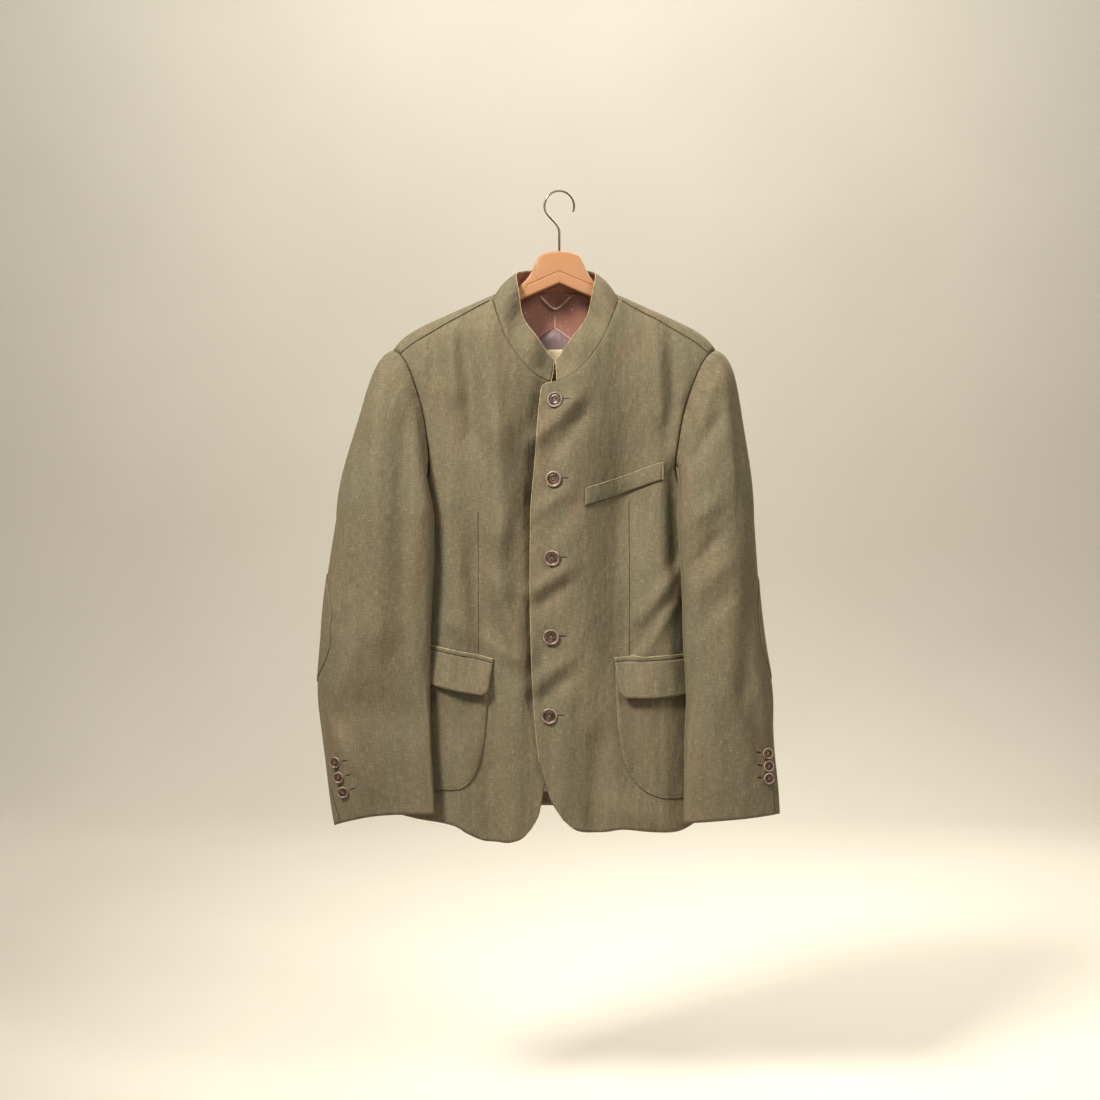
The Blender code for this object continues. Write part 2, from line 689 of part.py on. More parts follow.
def build_back():
    """The back panel, brought over both shoulders to the seam on the front side."""
    armhole = armhole_path()
    neck = neck_path()

    def edge(v):
        if v <= BACK_UNDERARM:
            return side_seam(v / BACK_UNDERARM, BACK, BACK_HEM_SIDE)
        share = (v - BACK_UNDERARM) / (1 - BACK_UNDERARM)
        return armhole.between(UNDERARM_BACK, SHOULDER_SEAM, share)

    def left_edge(v):
        across, along = edge(v)
        return -across, along

    def hem(s):
        half_width = column(LEVELS, "half_width", BACK_HEM_SIDE)
        across = half_width * (2 * s - 1)
        droop = 1 - (2 * s - 1) ** 2
        drop = BACK_HEM_SIDE + (BACK_HEM_CENTRE - BACK_HEM_SIDE) * droop
        return across, chart(across, drop, BACK)

    def top(s):
        from_side = min(s, 1 - s)
        turn = -1 if s < 0.5 else 1
        if from_side <= BACK_SEAM:
            across, along = shoulder_seam(1 - from_side / BACK_SEAM)
        else:
            share = (0.5 - from_side) / (0.5 - BACK_SEAM)
            across, along = neck.between(0, NECK_AT_SEAM, share)
        return turn * across, along

    to_hind = (1 - armhole.key(HIND_SEAM)) / (1 - armhole.key(SHOULDER_SEAM))
    hind_share = BACK_UNDERARM + (1 - BACK_UNDERARM) * to_hind
    shares = spread(BACK_LOW_ROWS, 0, BACK_UNDERARM)
    shares += spread(UNDERARM_BACK_STEPS, BACK_UNDERARM, hind_share)[1:]
    shares += spread(BACK_BLADE_ROWS, hind_share, BACK_RIDGE)[1:]
    shares += spread(BACK_RIDGE_ROWS, BACK_RIDGE, 1.0)[1:]
    half = [BACK_SEAM * (1 - s) for s in reversed(SHOULDER_COLUMNS)]
    half += spread(NECK_BACK_STEPS, BACK_SEAM, 0.5)[1:]
    columns = half + [1 - s for s in reversed(half[:-1])]
    outer = []
    inner = []
    for v in shares:
        outer_row = []
        inner_row = []
        for s in columns:
            across, along = coons(left_edge, edge, hem, top, s, v)
            point = body_point(across, along)
            inward = -body_normal(across, along)
            if s in (0.0, 1.0) and v <= BACK_UNDERARM:
                point.y += SEAM_GAP
                inward = Vector((-math.copysign(SIDE_RIM_IN, across), SIDE_RIM_DEPTH, 0.0))
            outer_row.append(point)
            inner_row.append(point + BODY_WALL * inward)
        outer.append(outer_row)
        inner.append(inner_row)
    add_wall("back", outer, inner, "linen")


def ring_point(side, turn, drop):
    """A point of the hanging sleeve, where turn runs round from the inner fold over the front."""
    rings = SLEEVE_RINGS[side]
    fold_in = Vector((column(rings, "inner_x", drop), column(rings, "inner_y", drop)))
    fold_out = Vector((column(rings, "outer_x", drop), column(rings, "outer_y", drop)))
    way = (fold_out - fold_in).normalized()
    forward = Vector((way.y, -way.x)) * side
    wave = math.sin(math.tau * turn)
    stand_off = column(rings, "front" if wave > 0 else "back", drop)
    share = (1 - math.cos(math.tau * turn)) / 2
    flat = fold_in.lerp(fold_out, share)
    flat += forward * math.copysign(stand_off * abs(wave) ** RING_FULLNESS, wave)
    slant = smooth_step(CUFF_SLANT_START, rings[-1].drop, drop)
    low = drop + slant * CUFF_SLANT[side] * share ** CUFF_SLANT_POWER[side]
    if wave > 0:
        flat.y -= fold_height(SLEEVE_FOLDS, flat.x, drop) * wave
    return Vector((flat.x, flat.y, -low))


def ring_normal(side, turn, drop):
    """The way out of the hanging sleeve, from points a button's radius away."""
    reach = 0.03
    fall = 5.0
    around = ring_point(side, turn + reach, drop) - ring_point(side, turn - reach, drop)
    along = ring_point(side, turn, drop + fall) - ring_point(side, turn, drop - fall)
    return along.cross(around).normalized() * side


def armhole_point(side, turn):
    """A point of the armhole seam, matched to the sleeve's turns."""
    armhole = armhole_path()
    turn = turn % 1.0
    if turn <= TIP_TURN:
        place = armhole.between(FRONT_NOTCH, SHOULDER_TIP, turn / TIP_TURN)
    elif turn <= HIND_TURN:
        place = armhole.between(SHOULDER_TIP, HIND_SEAM, (turn - TIP_TURN) / (HIND_TURN - TIP_TURN))
    elif turn <= UNDER_TURN:
        place = armhole.between(HIND_SEAM, UNDERARM_BACK, (turn - HIND_TURN) / (UNDER_TURN - HIND_TURN))
    else:
        place = armhole.between(UNDERARM_FRONT, FRONT_NOTCH, (turn - UNDER_TURN) / (1 - UNDER_TURN))
    return body_point(side * place[0], place[1], side)


def cap_point(side, turn, share):
    """A point of the sleeve head, between the armhole and the first whole ring."""
    start = armhole_point(side, turn)
    end = ring_point(side, turn, SLEEVE_LEVELS[0])
    way = Vector((
        side * column(SLEEVE_HEAD, "out", turn),
        -column(SLEEVE_HEAD, "forward", turn),
        -column(SLEEVE_HEAD, "down", turn),
    )).normalized()
    start = start + ARMHOLE_GAP * way
    if UNDER_TURN - UNDERARM_LIFT_FROM < turn < 1.0:
        start.z += SEAM_GAP
    near = start + column(SLEEVE_HEAD, "length", turn) * way
    far = end + Vector((0, 0, column(SLEEVE_HEAD, "lift", turn)))
    rest = 1 - share
    return start * rest**3 + near * 3 * rest**2 * share + far * 3 * rest * share**2 + end * share**3


def sleeve_grid(side):
    """The sleeve's outer points and inward directions, row by row round the whole tube."""
    levels = SLEEVE_LEVELS + (SLEEVE_RINGS[side][-1].drop,)
    turns = [k / SLEEVE_COLUMNS for k in range(SLEEVE_COLUMNS)]
    points = [[cap_point(side, t, share) for t in turns] for share in spread(CAP_ROWS)[:-1]]
    points += [[ring_point(side, t, level) for t in turns] for level in levels]
    last = len(points) - 1
    normals = []
    for i, row in enumerate(points):
        ups = []
        for k in range(SLEEVE_COLUMNS):
            around = row[(k + 1) % SLEEVE_COLUMNS] - row[k - 1]
            along = points[min(i + 1, last)][k] - points[max(i - 1, 0)][k]
            ups.append(along.cross(around).normalized() * side)
        normals.append(ups)
    return points, normals


def build_sleeve(side, name):
    """A two-piece sleeve: the top piece shows, the under piece lies toward the body."""
    points, normals = sleeve_grid(side)
    half = SLEEVE_COLUMNS // 2
    for piece, first in (("top", 0), ("under", half)):
        outer = []
        inner = []
        for row, ups in zip(points, normals):
            picks = [(first + k) % SLEEVE_COLUMNS for k in range(half + 1)]
            outside = [row[k].copy() for k in picks]
            inside = [row[k] - SLEEVE_WALL * ups[k] for k in picks]
            for line in (outside, inside):
                line[0] += SEAM_GAP / 2 * (line[1] - line[0]).normalized()
                line[-1] += SEAM_GAP / 2 * (line[-2] - line[-1]).normalized()
            outer.append(outside)
            inner.append(inside)
        add_wall(f"{name}_{piece}", outer, inner, "linen")


def build_elbow_patch(side, name):
    """An oval patch of the sleeve's own points, moved out."""
    lower = []
    upper = []
    middle = (ELBOW_FIRST_COLUMN + ELBOW_LAST_COLUMN) / 2
    reach = (ELBOW_LAST_COLUMN - ELBOW_FIRST_COLUMN) / 2
    for share in spread(ELBOW_ROWS, -1.0, 1.0):
        low_row = []
        high_row = []
        for k in range(ELBOW_FIRST_COLUMN, ELBOW_LAST_COLUMN + 1):
            off = (k - middle) / reach
            height = ELBOW_HALF_HEIGHT * math.sqrt(1 - ELBOW_ROUNDNESS * off * off)
            turn = k / SLEEVE_COLUMNS
            drop = ELBOW_DROP + share * height
            point = ring_point(side, turn, drop)
            out = ring_normal(side, turn, drop)
            low_row.append(point + PATCH_GAP * out)
            high_row.append(point + (PATCH_GAP + PATCH_WALL) * out)
        lower.append(low_row)
        upper.append(high_row)
    add_wall(name, upper, lower, "linen")


def build_collar():
    """The stand collar, from the right end round the back to the left end."""
    neck = neck_path()
    shares = [neck.key(i) for i in range(len(NECK))]
    to_seam = neck.key(NECK_AT_SEAM)
    steps = spread(NECK_BACK_STEPS, 0.0, to_seam) + spread(NECK_FRONT_STEPS, to_seam, 1.0)[1:]
    rows = spread(COLLAR_ROWS)
    outer = [[] for _ in rows]
    inner = [[] for _ in rows]
    stations = [(RIGHT, t) for t in reversed(steps)] + [(LEFT, t) for t in steps[1:]]
    tops = []
    bases = []
    seam_ways = []
    for side, t in stations:
        across, along = neck.at(t)
        lap = side if along < 0 else 0
        base = body_point(side * across, along, lap)
        top_across, top_drop, top_depth = (
            curve(shares, [getattr(row, name) for row in NECK], t)
            for name in ("top_across", "top_drop", "top_depth"))
        top = Vector((side * top_across + centre_line(top_drop), top_depth, -top_drop))
        bases.append(base + COLLAR_GAP * (top - base).normalized())
        tops.append(top)
        seam_ways.append(body_normal(side * across, along, lap))
    last = len(stations) - 1
    for k in range(last + 1):
        around = tops[min(k + 1, last)] - tops[max(k - 1, 0)]
        around += bases[min(k + 1, last)] - bases[max(k - 1, 0)]
        out = (tops[k] - bases[k]).cross(around).normalized()
        for i, share in enumerate(rows):
            bulge = COLLAR_BULGE * math.sin(math.pi * share)
            point = bases[k].lerp(tops[k], share) + bulge * out
            outer[i].append(point)
            if i == 0:
                inner[i].append(point - BODY_WALL * seam_ways[k])
            else:
                inner[i].append(point - COLLAR_WALL * out)
    add_wall("collar", outer, inner, "linen")


def build_pocket(side, name):
    """A patch pocket on the front, with its lower corners rounded off."""
    table = POCKET[side]
    outer = []
    inner = []
    for share in spread(POCKET_ROWS):
        fall = 1 - (1 - share) ** POCKET_ROW_POWER
        drop = table[0].drop + (table[-1].drop - table[0].drop) * fall
        low = column(table, "inner", drop)
        high = column(table, "outer", drop)
        acrosses = spread(POCKET_COLUMNS, low, high)
        inner.append([on_front(side, a, drop, LIFT_GAP) for a in acrosses])
        outer.append([on_front(side, a, drop, LIFT_GAP + POCKET_WALL) for a in acrosses])
    add_wall(name, outer, inner, "linen")


def flap_drop(flap, across, below):
    return flap.top + flap.slope * (across - flap.inner) + below


def build_flap(side, name):
    """A pocket flap over the patch, its lower corners eased."""
    flap = FLAP[side]
    base = 2 * LIFT_GAP + POCKET_WALL
    start = FLAP_WELT_HEIGHT + SEAM_GAP
    outer = []
    inner = []
    for share in spread(FLAP_ROWS):
        below = start + (flap.height - start) * share
        ease = flap.corner * smooth_step(flap.height - 2 * flap.corner, flap.height, below) ** 2
        low = flap.inner + flap.lean * below + ease
        high = flap.outer - ease
        acrosses = spread(FLAP_COLUMNS, low, high)
        inner.append([on_front(side, a, flap_drop(flap, a, below), base) for a in acrosses])
        outer.append([on_front(side, a, flap_drop(flap, a, below), base + FLAP_WALL) for a in acrosses])
    add_wall(name, outer, inner, "linen")


def build_flap_welt(side, name):
    """The raised strip that the flap hangs from."""
    flap = FLAP[side]
    outer = []
    inner = []
    for share in spread(FLAP_WELT_ROWS):
        below = FLAP_WELT_HEIGHT * share
        swell = FLAP_WELT_EDGE + (1 - FLAP_WELT_EDGE) * math.sin(math.pi * share)
        crown = FLAP_WELT_WALL * swell
        acrosses = spread(FLAP_COLUMNS, flap.inner, flap.outer)
        inner.append([on_front(side, a, flap_drop(flap, a, below), LIFT_GAP) for a in acrosses])
        outer.append([on_front(side, a, flap_drop(flap, a, below), LIFT_GAP + crown) for a in acrosses])
    add_wall(name, outer, inner, "linen")


def build_chest_welt():
    """The chest pocket's welt, slanting up toward the sleeve."""
    welt = CHEST_WELT
    outer = []
    inner = []
    for share in spread(CHEST_WELT_ROWS):
        low_row = []
        high_row = []
        for s in spread(CHEST_WELT_COLUMNS):
            across = welt.inner + (welt.outer - welt.inner) * s
            drop = welt.top_inner + (welt.top_outer - welt.top_inner) * s + welt.height * share
            low_row.append(on_front(LEFT, across, drop, LIFT_GAP))
            high_row.append(on_front(LEFT, across, drop, LIFT_GAP + WELT_WALL))
        inner.append(low_row)
        outer.append(high_row)
    add_wall("chest_welt", outer, inner, "linen")


def build_button(name, radius, seat, axis, sides):
    """A turned button with a raised rim, its back just off the cloth."""
    maker = bmesh.new()
    across = axis.cross(Vector((0, 0, 1))).normalized()
    up = across.cross(axis)
    rings = []
    for turn in BUTTON_PROFILE:
        ring = []
        for k in range(sides):
            angle = math.tau * k / sides
            spoke = math.cos(angle) * across + math.sin(angle) * up
            ring.append(maker.verts.new(seat + radius * (turn.radius * spoke + turn.height * axis)))
        rings.append(ring)
    for low, high in zip(rings, rings[1:]):
        for k in range(sides):
            m = (k + 1) % sides
            maker.faces.new((low[k], low[m], high[m], high[k]))
    maker.faces.new(rings[0])
    maker.faces.new(rings[-1])
    add_object(name, maker, "horn")


def build_front_buttons():
    for i in range(FRONT_BUTTONS):
        drop = FRONT_BUTTON_FIRST + i * FRONT_BUTTON_SPACING
        along = chart(FRONT_BUTTON_ACROSS, drop, FRONT)
        axis = body_normal(FRONT_BUTTON_ACROSS, along, LEFT)
        seat = on_front(LEFT, FRONT_BUTTON_ACROSS, drop, LIFT_GAP)
        build_button(f"front_button_{i + 1}", FRONT_BUTTON_RADIUS, seat, axis, FRONT_BUTTON_SIDES)


def build_cuff_buttons(side, name):
    """Three buttons beside the cuff's vent, each set where the sleeve passes its place."""
    for i, place in enumerate(CUFF_BUTTONS[side]):
        turns = spread(CUFF_BUTTON_TRIES, *CUFF_BUTTON_TURNS)
        turn = min(turns, key=lambda t: abs(ring_point(side, t, place.drop).x - place.across))
        axis = ring_normal(side, turn, place.drop)
        seat = ring_point(side, turn, place.drop) + CUFF_BUTTON_GAP * axis
        build_button(f"{name}_{i + 1}", CUFF_BUTTON_RADIUS, seat, axis, CUFF_BUTTON_SIDES)


def inside_back(across, drop, depth):
    """A point inside the back, that far from its outer face."""
    along = chart(across, drop, BACK)
    return body_point(across, along) - depth * body_normal(across, along)


def facing_edge(across):
    return FACING_CENTRE_DROP + FACING_SLOPE * abs(across)


def build_lining():
    """The facing at the back of the neck and the lining below it."""
    near = BODY_WALL + LINING_GAP
    far = near + LINING_WALL
    facing = ([], [])
    for share in spread(FACING_ROWS):
        rows = ([], [])
        for s in spread(FACING_COLUMNS, -1.0, 1.0):
            across = FACING_HALF_WIDTH * s
            start = column(NECK[:3], "drop", abs(across)) + FACING_START
            drop = start + (facing_edge(across) - SEAM_GAP - start) * share
            rows[0].append(inside_back(across, drop, near))
            rows[1].append(inside_back(across, drop, far))
        facing[0].append(rows[0])
        facing[1].append(rows[1])
    add_wall("neck_facing", facing[0], facing[1], "facing_satin")
    lining = ([], [])
    for share in spread(LINING_ROWS):
        rows = ([], [])
        for across in LINING_COLUMNS:
            start = facing_edge(across) + SEAM_GAP
            drop = start + (LINING_END - start) * share
            rows[0].append(inside_back(across, drop, near))
            rows[1].append(inside_back(across, drop, far))
        lining[0].append(rows[0])
        lining[1].append(rows[1])
    add_wall("back_lining", lining[0], lining[1], "lining_satin")


def build_hang_loop():
    """A narrow loop hung between two points of the neck facing."""
    depth = BODY_WALL + LINING_GAP + LINING_WALL + LOOP_STAND_OFF + LOOP_RADIUS
    points = []
    for s in spread(LOOP_STEPS, -1.0, 1.0):
        sag = 1 - abs(s) ** LOOP_SAG_POWER
        drop = LOOP_TOP + (LOOP_BOTTOM - LOOP_TOP) * sag
        points.append(inside_back(LOOP_HALF_WIDTH * s, drop, depth + LOOP_SAG_FORWARD * sag))
    add_tube("hang_loop", points, LOOP_RADIUS, LOOP_SIDES, "loop_satin", Vector((0, 1, 0)))


def bar_section(x, bar):
    """An eight-sided section of the hanger's bar."""
    depth = -shoulder_forward(x - centre_line(bar.top), bar.top)
    edge = HANGER_EDGE if bar in HANGER_HEAD else HANGER_ARM_EDGE
    half = bar.half_depth
    corners = (
        (-half + edge, bar.top), (half - edge, bar.top),
        (half, bar.top + edge), (half, bar.bottom - edge),
        (half - edge, bar.bottom), (-half + edge, bar.bottom),
        (-half, bar.bottom - edge), (-half, bar.top + edge),
    )
    return [Vector((x, depth + y, -drop)) for y, drop in corners]


def build_hanger(side, name):
    """Half of the hanger, from the middle joint to the arm's end."""
    bars = list(HANGER_HEAD)
    for reach in HANGER_ARM_ACROSS:
        across = side * reach - centre_line(ridge_drop(reach))
        slope = ridge_drop(abs(across) + 0.5) - ridge_drop(abs(across) - 0.5)
        under = ridge_drop(across) + BODY_WALL * math.hypot(1, slope) + HANGER_GAP
        bars.append(Bar(reach, under, under + HANGER_ARM_HEIGHT, HANGER_ARM_HALF_DEPTH))
    maker = bmesh.new()
    sections = [[maker.verts.new(p) for p in bar_section(side * bar.across, bar)] for bar in bars]
    for low, high in zip(sections, sections[1:]):
        for k in range(len(low)):
            m = (k + 1) % len(low)
            maker.faces.new((low[k], low[m], high[m], high[k]))
    maker.faces.new(sections[0])
    maker.faces.new(sections[-1])
    add_object(name, maker, "beech")


def build_hook():
    """The wire hook: a stem, an easy bend and a crook round the rail."""
    radius = HOOK_INNER_RADIUS + HOOK_WIRE
    points = []
    for angle in spread(HOOK_CROOK_STEPS, HOOK_TIP_ANGLE, HOOK_LEAVE_ANGLE):
        turn = math.radians(angle)
        points.append(Vector((radius * math.cos(turn), 0, radius * math.sin(turn) - HOOK_INNER_RADIUS)))
    leave = points[-1]
    way = (points[-1] - points[-2]).normalized()
    stem_top = Vector((0, 0, -HOOK_STEM_TOP))
    near = leave + HOOK_LEAVE_REACH * way
    far = stem_top + Vector((0, 0, HOOK_STEM_REACH))
    for t in spread(HOOK_BEND_STEPS)[1:]:
        rest = 1 - t
        points.append(leave * rest**3 + near * 3 * rest**2 * t + far * 3 * rest * t**2 + stem_top * t**3)
    points.append(Vector((0, 0, -HANGER_HEAD[0].top + SEAM_GAP)))
    add_tube("hanger_hook", points, HOOK_WIRE, HOOK_SIDES, "hook_steel", Vector((0, 1, 0)))


def build_jacket():
    build_front(LEFT, "front_left")
    build_front(RIGHT, "front_right")
    build_back()
    build_collar()
    for side, word in ((LEFT, "left"), (RIGHT, "right")):
        build_sleeve(side, f"sleeve_{word}")
        build_elbow_patch(side, f"elbow_patch_{word}")
        build_pocket(side, f"pocket_{word}")
        build_flap(side, f"flap_{word}")
        build_flap_welt(side, f"flap_welt_{word}")
        build_cuff_buttons(side, f"cuff_button_{word}")
        build_hanger(side, f"hanger_{word}")
    build_chest_welt()
    build_front_buttons()
    build_lining()
    build_hang_loop()
    build_hook()


def main():
    for item in list(bpy.data.objects):
        bpy.data.objects.remove(item, do_unlink=True)
    build_jacket()


main()
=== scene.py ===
"""The looks of a linen jacket with a stand collar that hangs on a wooden hanger.

Sizes in the tables are in millimetres and become metres when a mesh is made.
Across runs from the jacket's centre line toward the viewer's right, drop runs down from
the hook's seat, and depth is negative toward the viewer. Left and right are the wearer's.
"""
import math
from collections import namedtuple
from functools import cache

import bmesh
import bpy
from bpy.props import FloatProperty, FloatVectorProperty, PointerProperty
from mathutils import Matrix, Vector


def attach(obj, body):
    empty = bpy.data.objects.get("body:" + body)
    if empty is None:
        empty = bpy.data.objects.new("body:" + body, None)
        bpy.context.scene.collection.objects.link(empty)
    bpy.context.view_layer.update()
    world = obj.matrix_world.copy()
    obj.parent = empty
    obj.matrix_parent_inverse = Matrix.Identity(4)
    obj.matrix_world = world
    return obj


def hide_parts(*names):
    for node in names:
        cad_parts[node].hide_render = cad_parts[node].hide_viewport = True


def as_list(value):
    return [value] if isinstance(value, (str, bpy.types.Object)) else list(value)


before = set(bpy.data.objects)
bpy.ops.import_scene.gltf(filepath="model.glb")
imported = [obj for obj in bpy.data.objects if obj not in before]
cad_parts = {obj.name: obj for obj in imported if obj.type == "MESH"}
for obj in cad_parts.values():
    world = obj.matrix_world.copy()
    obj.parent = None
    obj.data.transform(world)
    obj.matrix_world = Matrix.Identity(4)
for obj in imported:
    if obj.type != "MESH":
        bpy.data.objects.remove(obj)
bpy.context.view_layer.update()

bl_info = {
    "name": "Linen Jacket",
    "version": (1, 0, 0),
    "blender": (4, 5, 0),
    "location": "View3D > Sidebar > Jacket",
    "description": "Dresses the packed model of a linen jacket that hangs on a wooden hanger",
    "category": "Object",
}

BODY = "root"
METRES = 0.001

# Gaps between pieces that lie close together, and how finely meshes are made and measured
SEAM_GAP = 0.3
LIFT_GAP = 0.5
NORMAL_STEP = 0.5
MERGE_DISTANCE = 0.001
TUBE_ROUNDNESS = 2

# Cloth thicknesses
BODY_WALL = 2.0
SLEEVE_WALL = 1.6
COLLAR_WALL = 2.6
POCKET_WALL = 1.2
FLAP_WALL = 1.6
WELT_WALL = 2.4
LINING_WALL = 1.0
LINING_GAP = 0.9
PATCH_WALL = 0.9
PATCH_GAP = 0.3

# How the jacket hangs: its centre line leans, and its shoulders come forward
CENTRE_AT_NECK = -5.3
CENTRE_LEAN = -0.018
NECK_DROP = 150.0
SHOULDER_FORWARD = 10.0
SHOULDER_REACH = 222.0
FORWARD_UNTIL = 250.0
FORWARD_GONE = 420.0

# The roll of the cloth over the shoulder ridge, and how soon the rows below it run level
RIDGE_ROLL = 20.0
RIDGE_LEVEL = 165.0
RIDGE_FADE = 240.0
CHART_TRIES = 25
ROUNDING_AT_NECK = 150.0
ROUNDING_LOSS = 80.0
SIDE_POWER = 2.5
FOLDS_FADE_FROM = 0.75
FOLD_END_SOFTNESS = 2.0

# The lap at centre front
LAP_LIFT = 2.0
LAP_FULL = 42.0
LAP_END = 85.0

# Where each panel's corners fall, as shares of its height or width
FRONT_UNDERARM = 0.52
FRONT_LAP = 0.80
FRONT_NECK = 0.86
NECK_SEAM_START = FRONT_NECK + 0.01
BACK_UNDERARM = 0.60
BACK_RIDGE = 0.91
BACK_SEAM = 0.27

LEFT = 1
RIGHT = -1
FRONT = -1
BACK = 1
SIDES = ((LEFT, "left"), (RIGHT, "right"))

Ridge = namedtuple("Ridge", "across drop")
RIDGE = (
    Ridge(0, 112),
    Ridge(30, 115.5),
    Ridge(85, 142.5),
    Ridge(153, 173.5),
    Ridge(189, 191),
    Ridge(210, 205.5),
    Ridge(224, 222),
)

Level = namedtuple("Level", "drop half_width front_depth back_depth")
LEVELS = (
    Level(100, 330, 60, 46),
    Level(223, 300, 62, 48),
    Level(300, 262, 63, 50),
    Level(376, 243, 63, 50),
    Level(431, 236, 63, 50),
    Level(560, 230, 61, 47),
    Level(700, 235, 60, 46),
    Level(900, 241, 58, 45),
)

# Soft folds and creases seen from the front; height is toward the viewer
Fold = namedtuple("Fold", "x_top drop_top x_end drop_end width height")
BODY_FOLDS = (
    # The right front's long ridge beside the lap
    Fold(-101, 205, -84, 330, 20, 9.5),
    Fold(-83, 345, -79, 465, 20, 10.8),
    Fold(-82, 482, -84, 535, 17, 8.1),
    Fold(-78, 560, -52, 634, 16, 9.5),
    # The hollows and ridges beside its armhole
    Fold(-160, 400, -158, 640, 38, 10.8),
    Fold(-174, 205, -162, 245, 16, -7.4),
    Fold(-152, 205, -143, 280, 11, 6.8),
    Fold(-126, 226, -117, 335, 14, -8.8),
    Fold(-146, 440, -134, 590, 14, 5.4),
    Fold(-112, 500, -106, 628, 15, -6.8),
    # The left front's long hollow, its ridges beside the armhole and the hollow beside the sleeve
    Fold(12, 285, 10, 500, 24, 5.4),
    Fold(98, 225, 102, 420, 42, -17.0),
    Fold(84, 440, 82, 600, 34, -13.0),
    Fold(98, 650, 100, 780, 36, -9.0),
    Fold(132, 180, 136, 308, 13, 9.5),
    Fold(153, 242, 157, 298, 13, -7.0),
    Fold(164, 290, 158, 366, 9, 6.1),
    Fold(154, 395, 160, 515, 11, -9.5),
    Fold(138, 430, 140, 640, 30, 10.8),
    # Creases above the hip pockets
    Fold(166, 520, 112, 585, 10, 6.8),
    Fold(162, 556, 116, 632, 10, 6.1),
    Fold(152, 566, 104, 634, 7, -4.7),
    Fold(-140, 600, -70, 640, 11, 3.4),
    # Pulls at the front buttons
    Fold(-24, 340, 14, 302, 11, 7.0),
    Fold(2, 354, 26, 320, 11, -5.0),
    Fold(-22, 440, -6, 428, 10, 3.5),
    Fold(0, 462, 18, 440, 12, -3.0),
    Fold(-28, 548, -4, 532, 10, 5.5),
    Fold(-18, 566, 4, 550, 10, -4.0),
    Fold(-27, 674, -4, 656, 11, 5.5),
    Fold(-14, 692, 8, 674, 11, -4.0),
    # The skirts above the hem
    Fold(-60, 705, -62, 880, 17, 6.8),
    Fold(-98, 800, -92, 880, 13, -6.8),
    Fold(-138, 780, -134, 880, 16, 6.1),
    Fold(52, 770, 46, 885, 15, -7.4),
    Fold(92, 850, 150, 872, 20, 6.8),
    Fold(8, 700, 4, 830, 15, 4.7),
)
LAP_FOLDS = {
    RIGHT: (
        Fold(-14, 300, -24, 425, 27, -20.0),
        Fold(-26, 440, -34, 690, 14, -10.0),
    ),
    LEFT: (
        Fold(-24, 300, -30, 400, 8, 2.0),
        Fold(-34, 500, -36, 640, 8, 1.6),
        Fold(-30, 690, -22, 800, 10, 1.6),
    ),
    0: (),
}
# The same on the back, where height is away from the viewer
BACK_FOLDS = (
    Fold(-62, 330, -74, 720, 32, 4.5),
    Fold(78, 400, 70, 800, 28, 4.0),
    Fold(4, 250, -4, 470, 40, -4.0),
    Fold(-168, 300, -104, 430, 15, 3.5),
    Fold(162, 305, 96, 440, 15, 3.5),
    Fold(-150, 350, -70, 470, 12, -3.0),
    Fold(20, 560, 10, 840, 26, -3.5),
    Fold(-130, 600, -120, 840, 24, 3.0),
    Fold(135, 640, 142, 845, 22, -3.0),
)
SLEEVE_FOLDS = (
    # The right sleeve's ridge beside the armhole and its long hollow and ridge
    Fold(-204, 268, -182, 345, 9, 6.5),
    Fold(-182, 345, -176, 440, 9, 6.5),
    Fold(-210, 340, -206, 620, 13, -7.8),
    Fold(-246, 320, -240, 600, 17, 7.2),
    Fold(-238, 246, -250, 330, 6, 3.1),
    Fold(-200, 500, -196, 640, 12, 4.5),
    Fold(-290, 600, -190, 618, 36, 7.0),
    Fold(-190, 640, -186, 800, 44, -13.0),
    Fold(-292, 470, -298, 800, 42, 10.0),
    Fold(-280, 712, -190, 724, 38, -9.1),
    Fold(-292, 690, -286, 860, 30, 12.0),
    # Its drag lines and the bend above its cuff
    Fold(-292, 600, -318, 690, 12, -4.5),
    Fold(-284, 470, -296, 590, 11, -4.5),
    Fold(-286, 570, -300, 640, 9, 3.9),
    Fold(-280, 640, -306, 720, 8, 3.9),
    Fold(-306, 712, -262, 770, 12, -4.5),
    Fold(-300, 748, -252, 812, 12, 4.2),
    Fold(-192, 700, -188, 840, 11, 3.9),
    # Creases across the left sleeve's inner bend
    Fold(204, 278, 172, 350, 11, 7.8),
    Fold(208, 330, 180, 374, 9, -6.5),
    Fold(172, 400, 178, 440, 9, 5.2),
    Fold(171, 470, 202, 438, 10, 5.9),
    Fold(176, 520, 206, 486, 9, -5.9),
    Fold(174, 560, 210, 528, 11, 5.2),
    Fold(178, 606, 216, 566, 11, -3.9),
    # Its sleeve head, its outer side and the lines above its cuff
    Fold(222, 250, 236, 400, 8, 3.9),
    Fold(252, 430, 254, 800, 38, 8.0),
    Fold(238, 300, 248, 430, 12, -4.5),
    Fold(232, 520, 222, 680, 22, 5.2),
    Fold(262, 520, 248, 680, 11, -4.5),
    Fold(250, 690, 275, 760, 15, -4.5),
    Fold(276, 680, 284, 742, 7, 3.4),
    Fold(286, 690, 292, 735, 5, -2.6),
    Fold(190, 700, 215, 800, 15, 4.5),
)
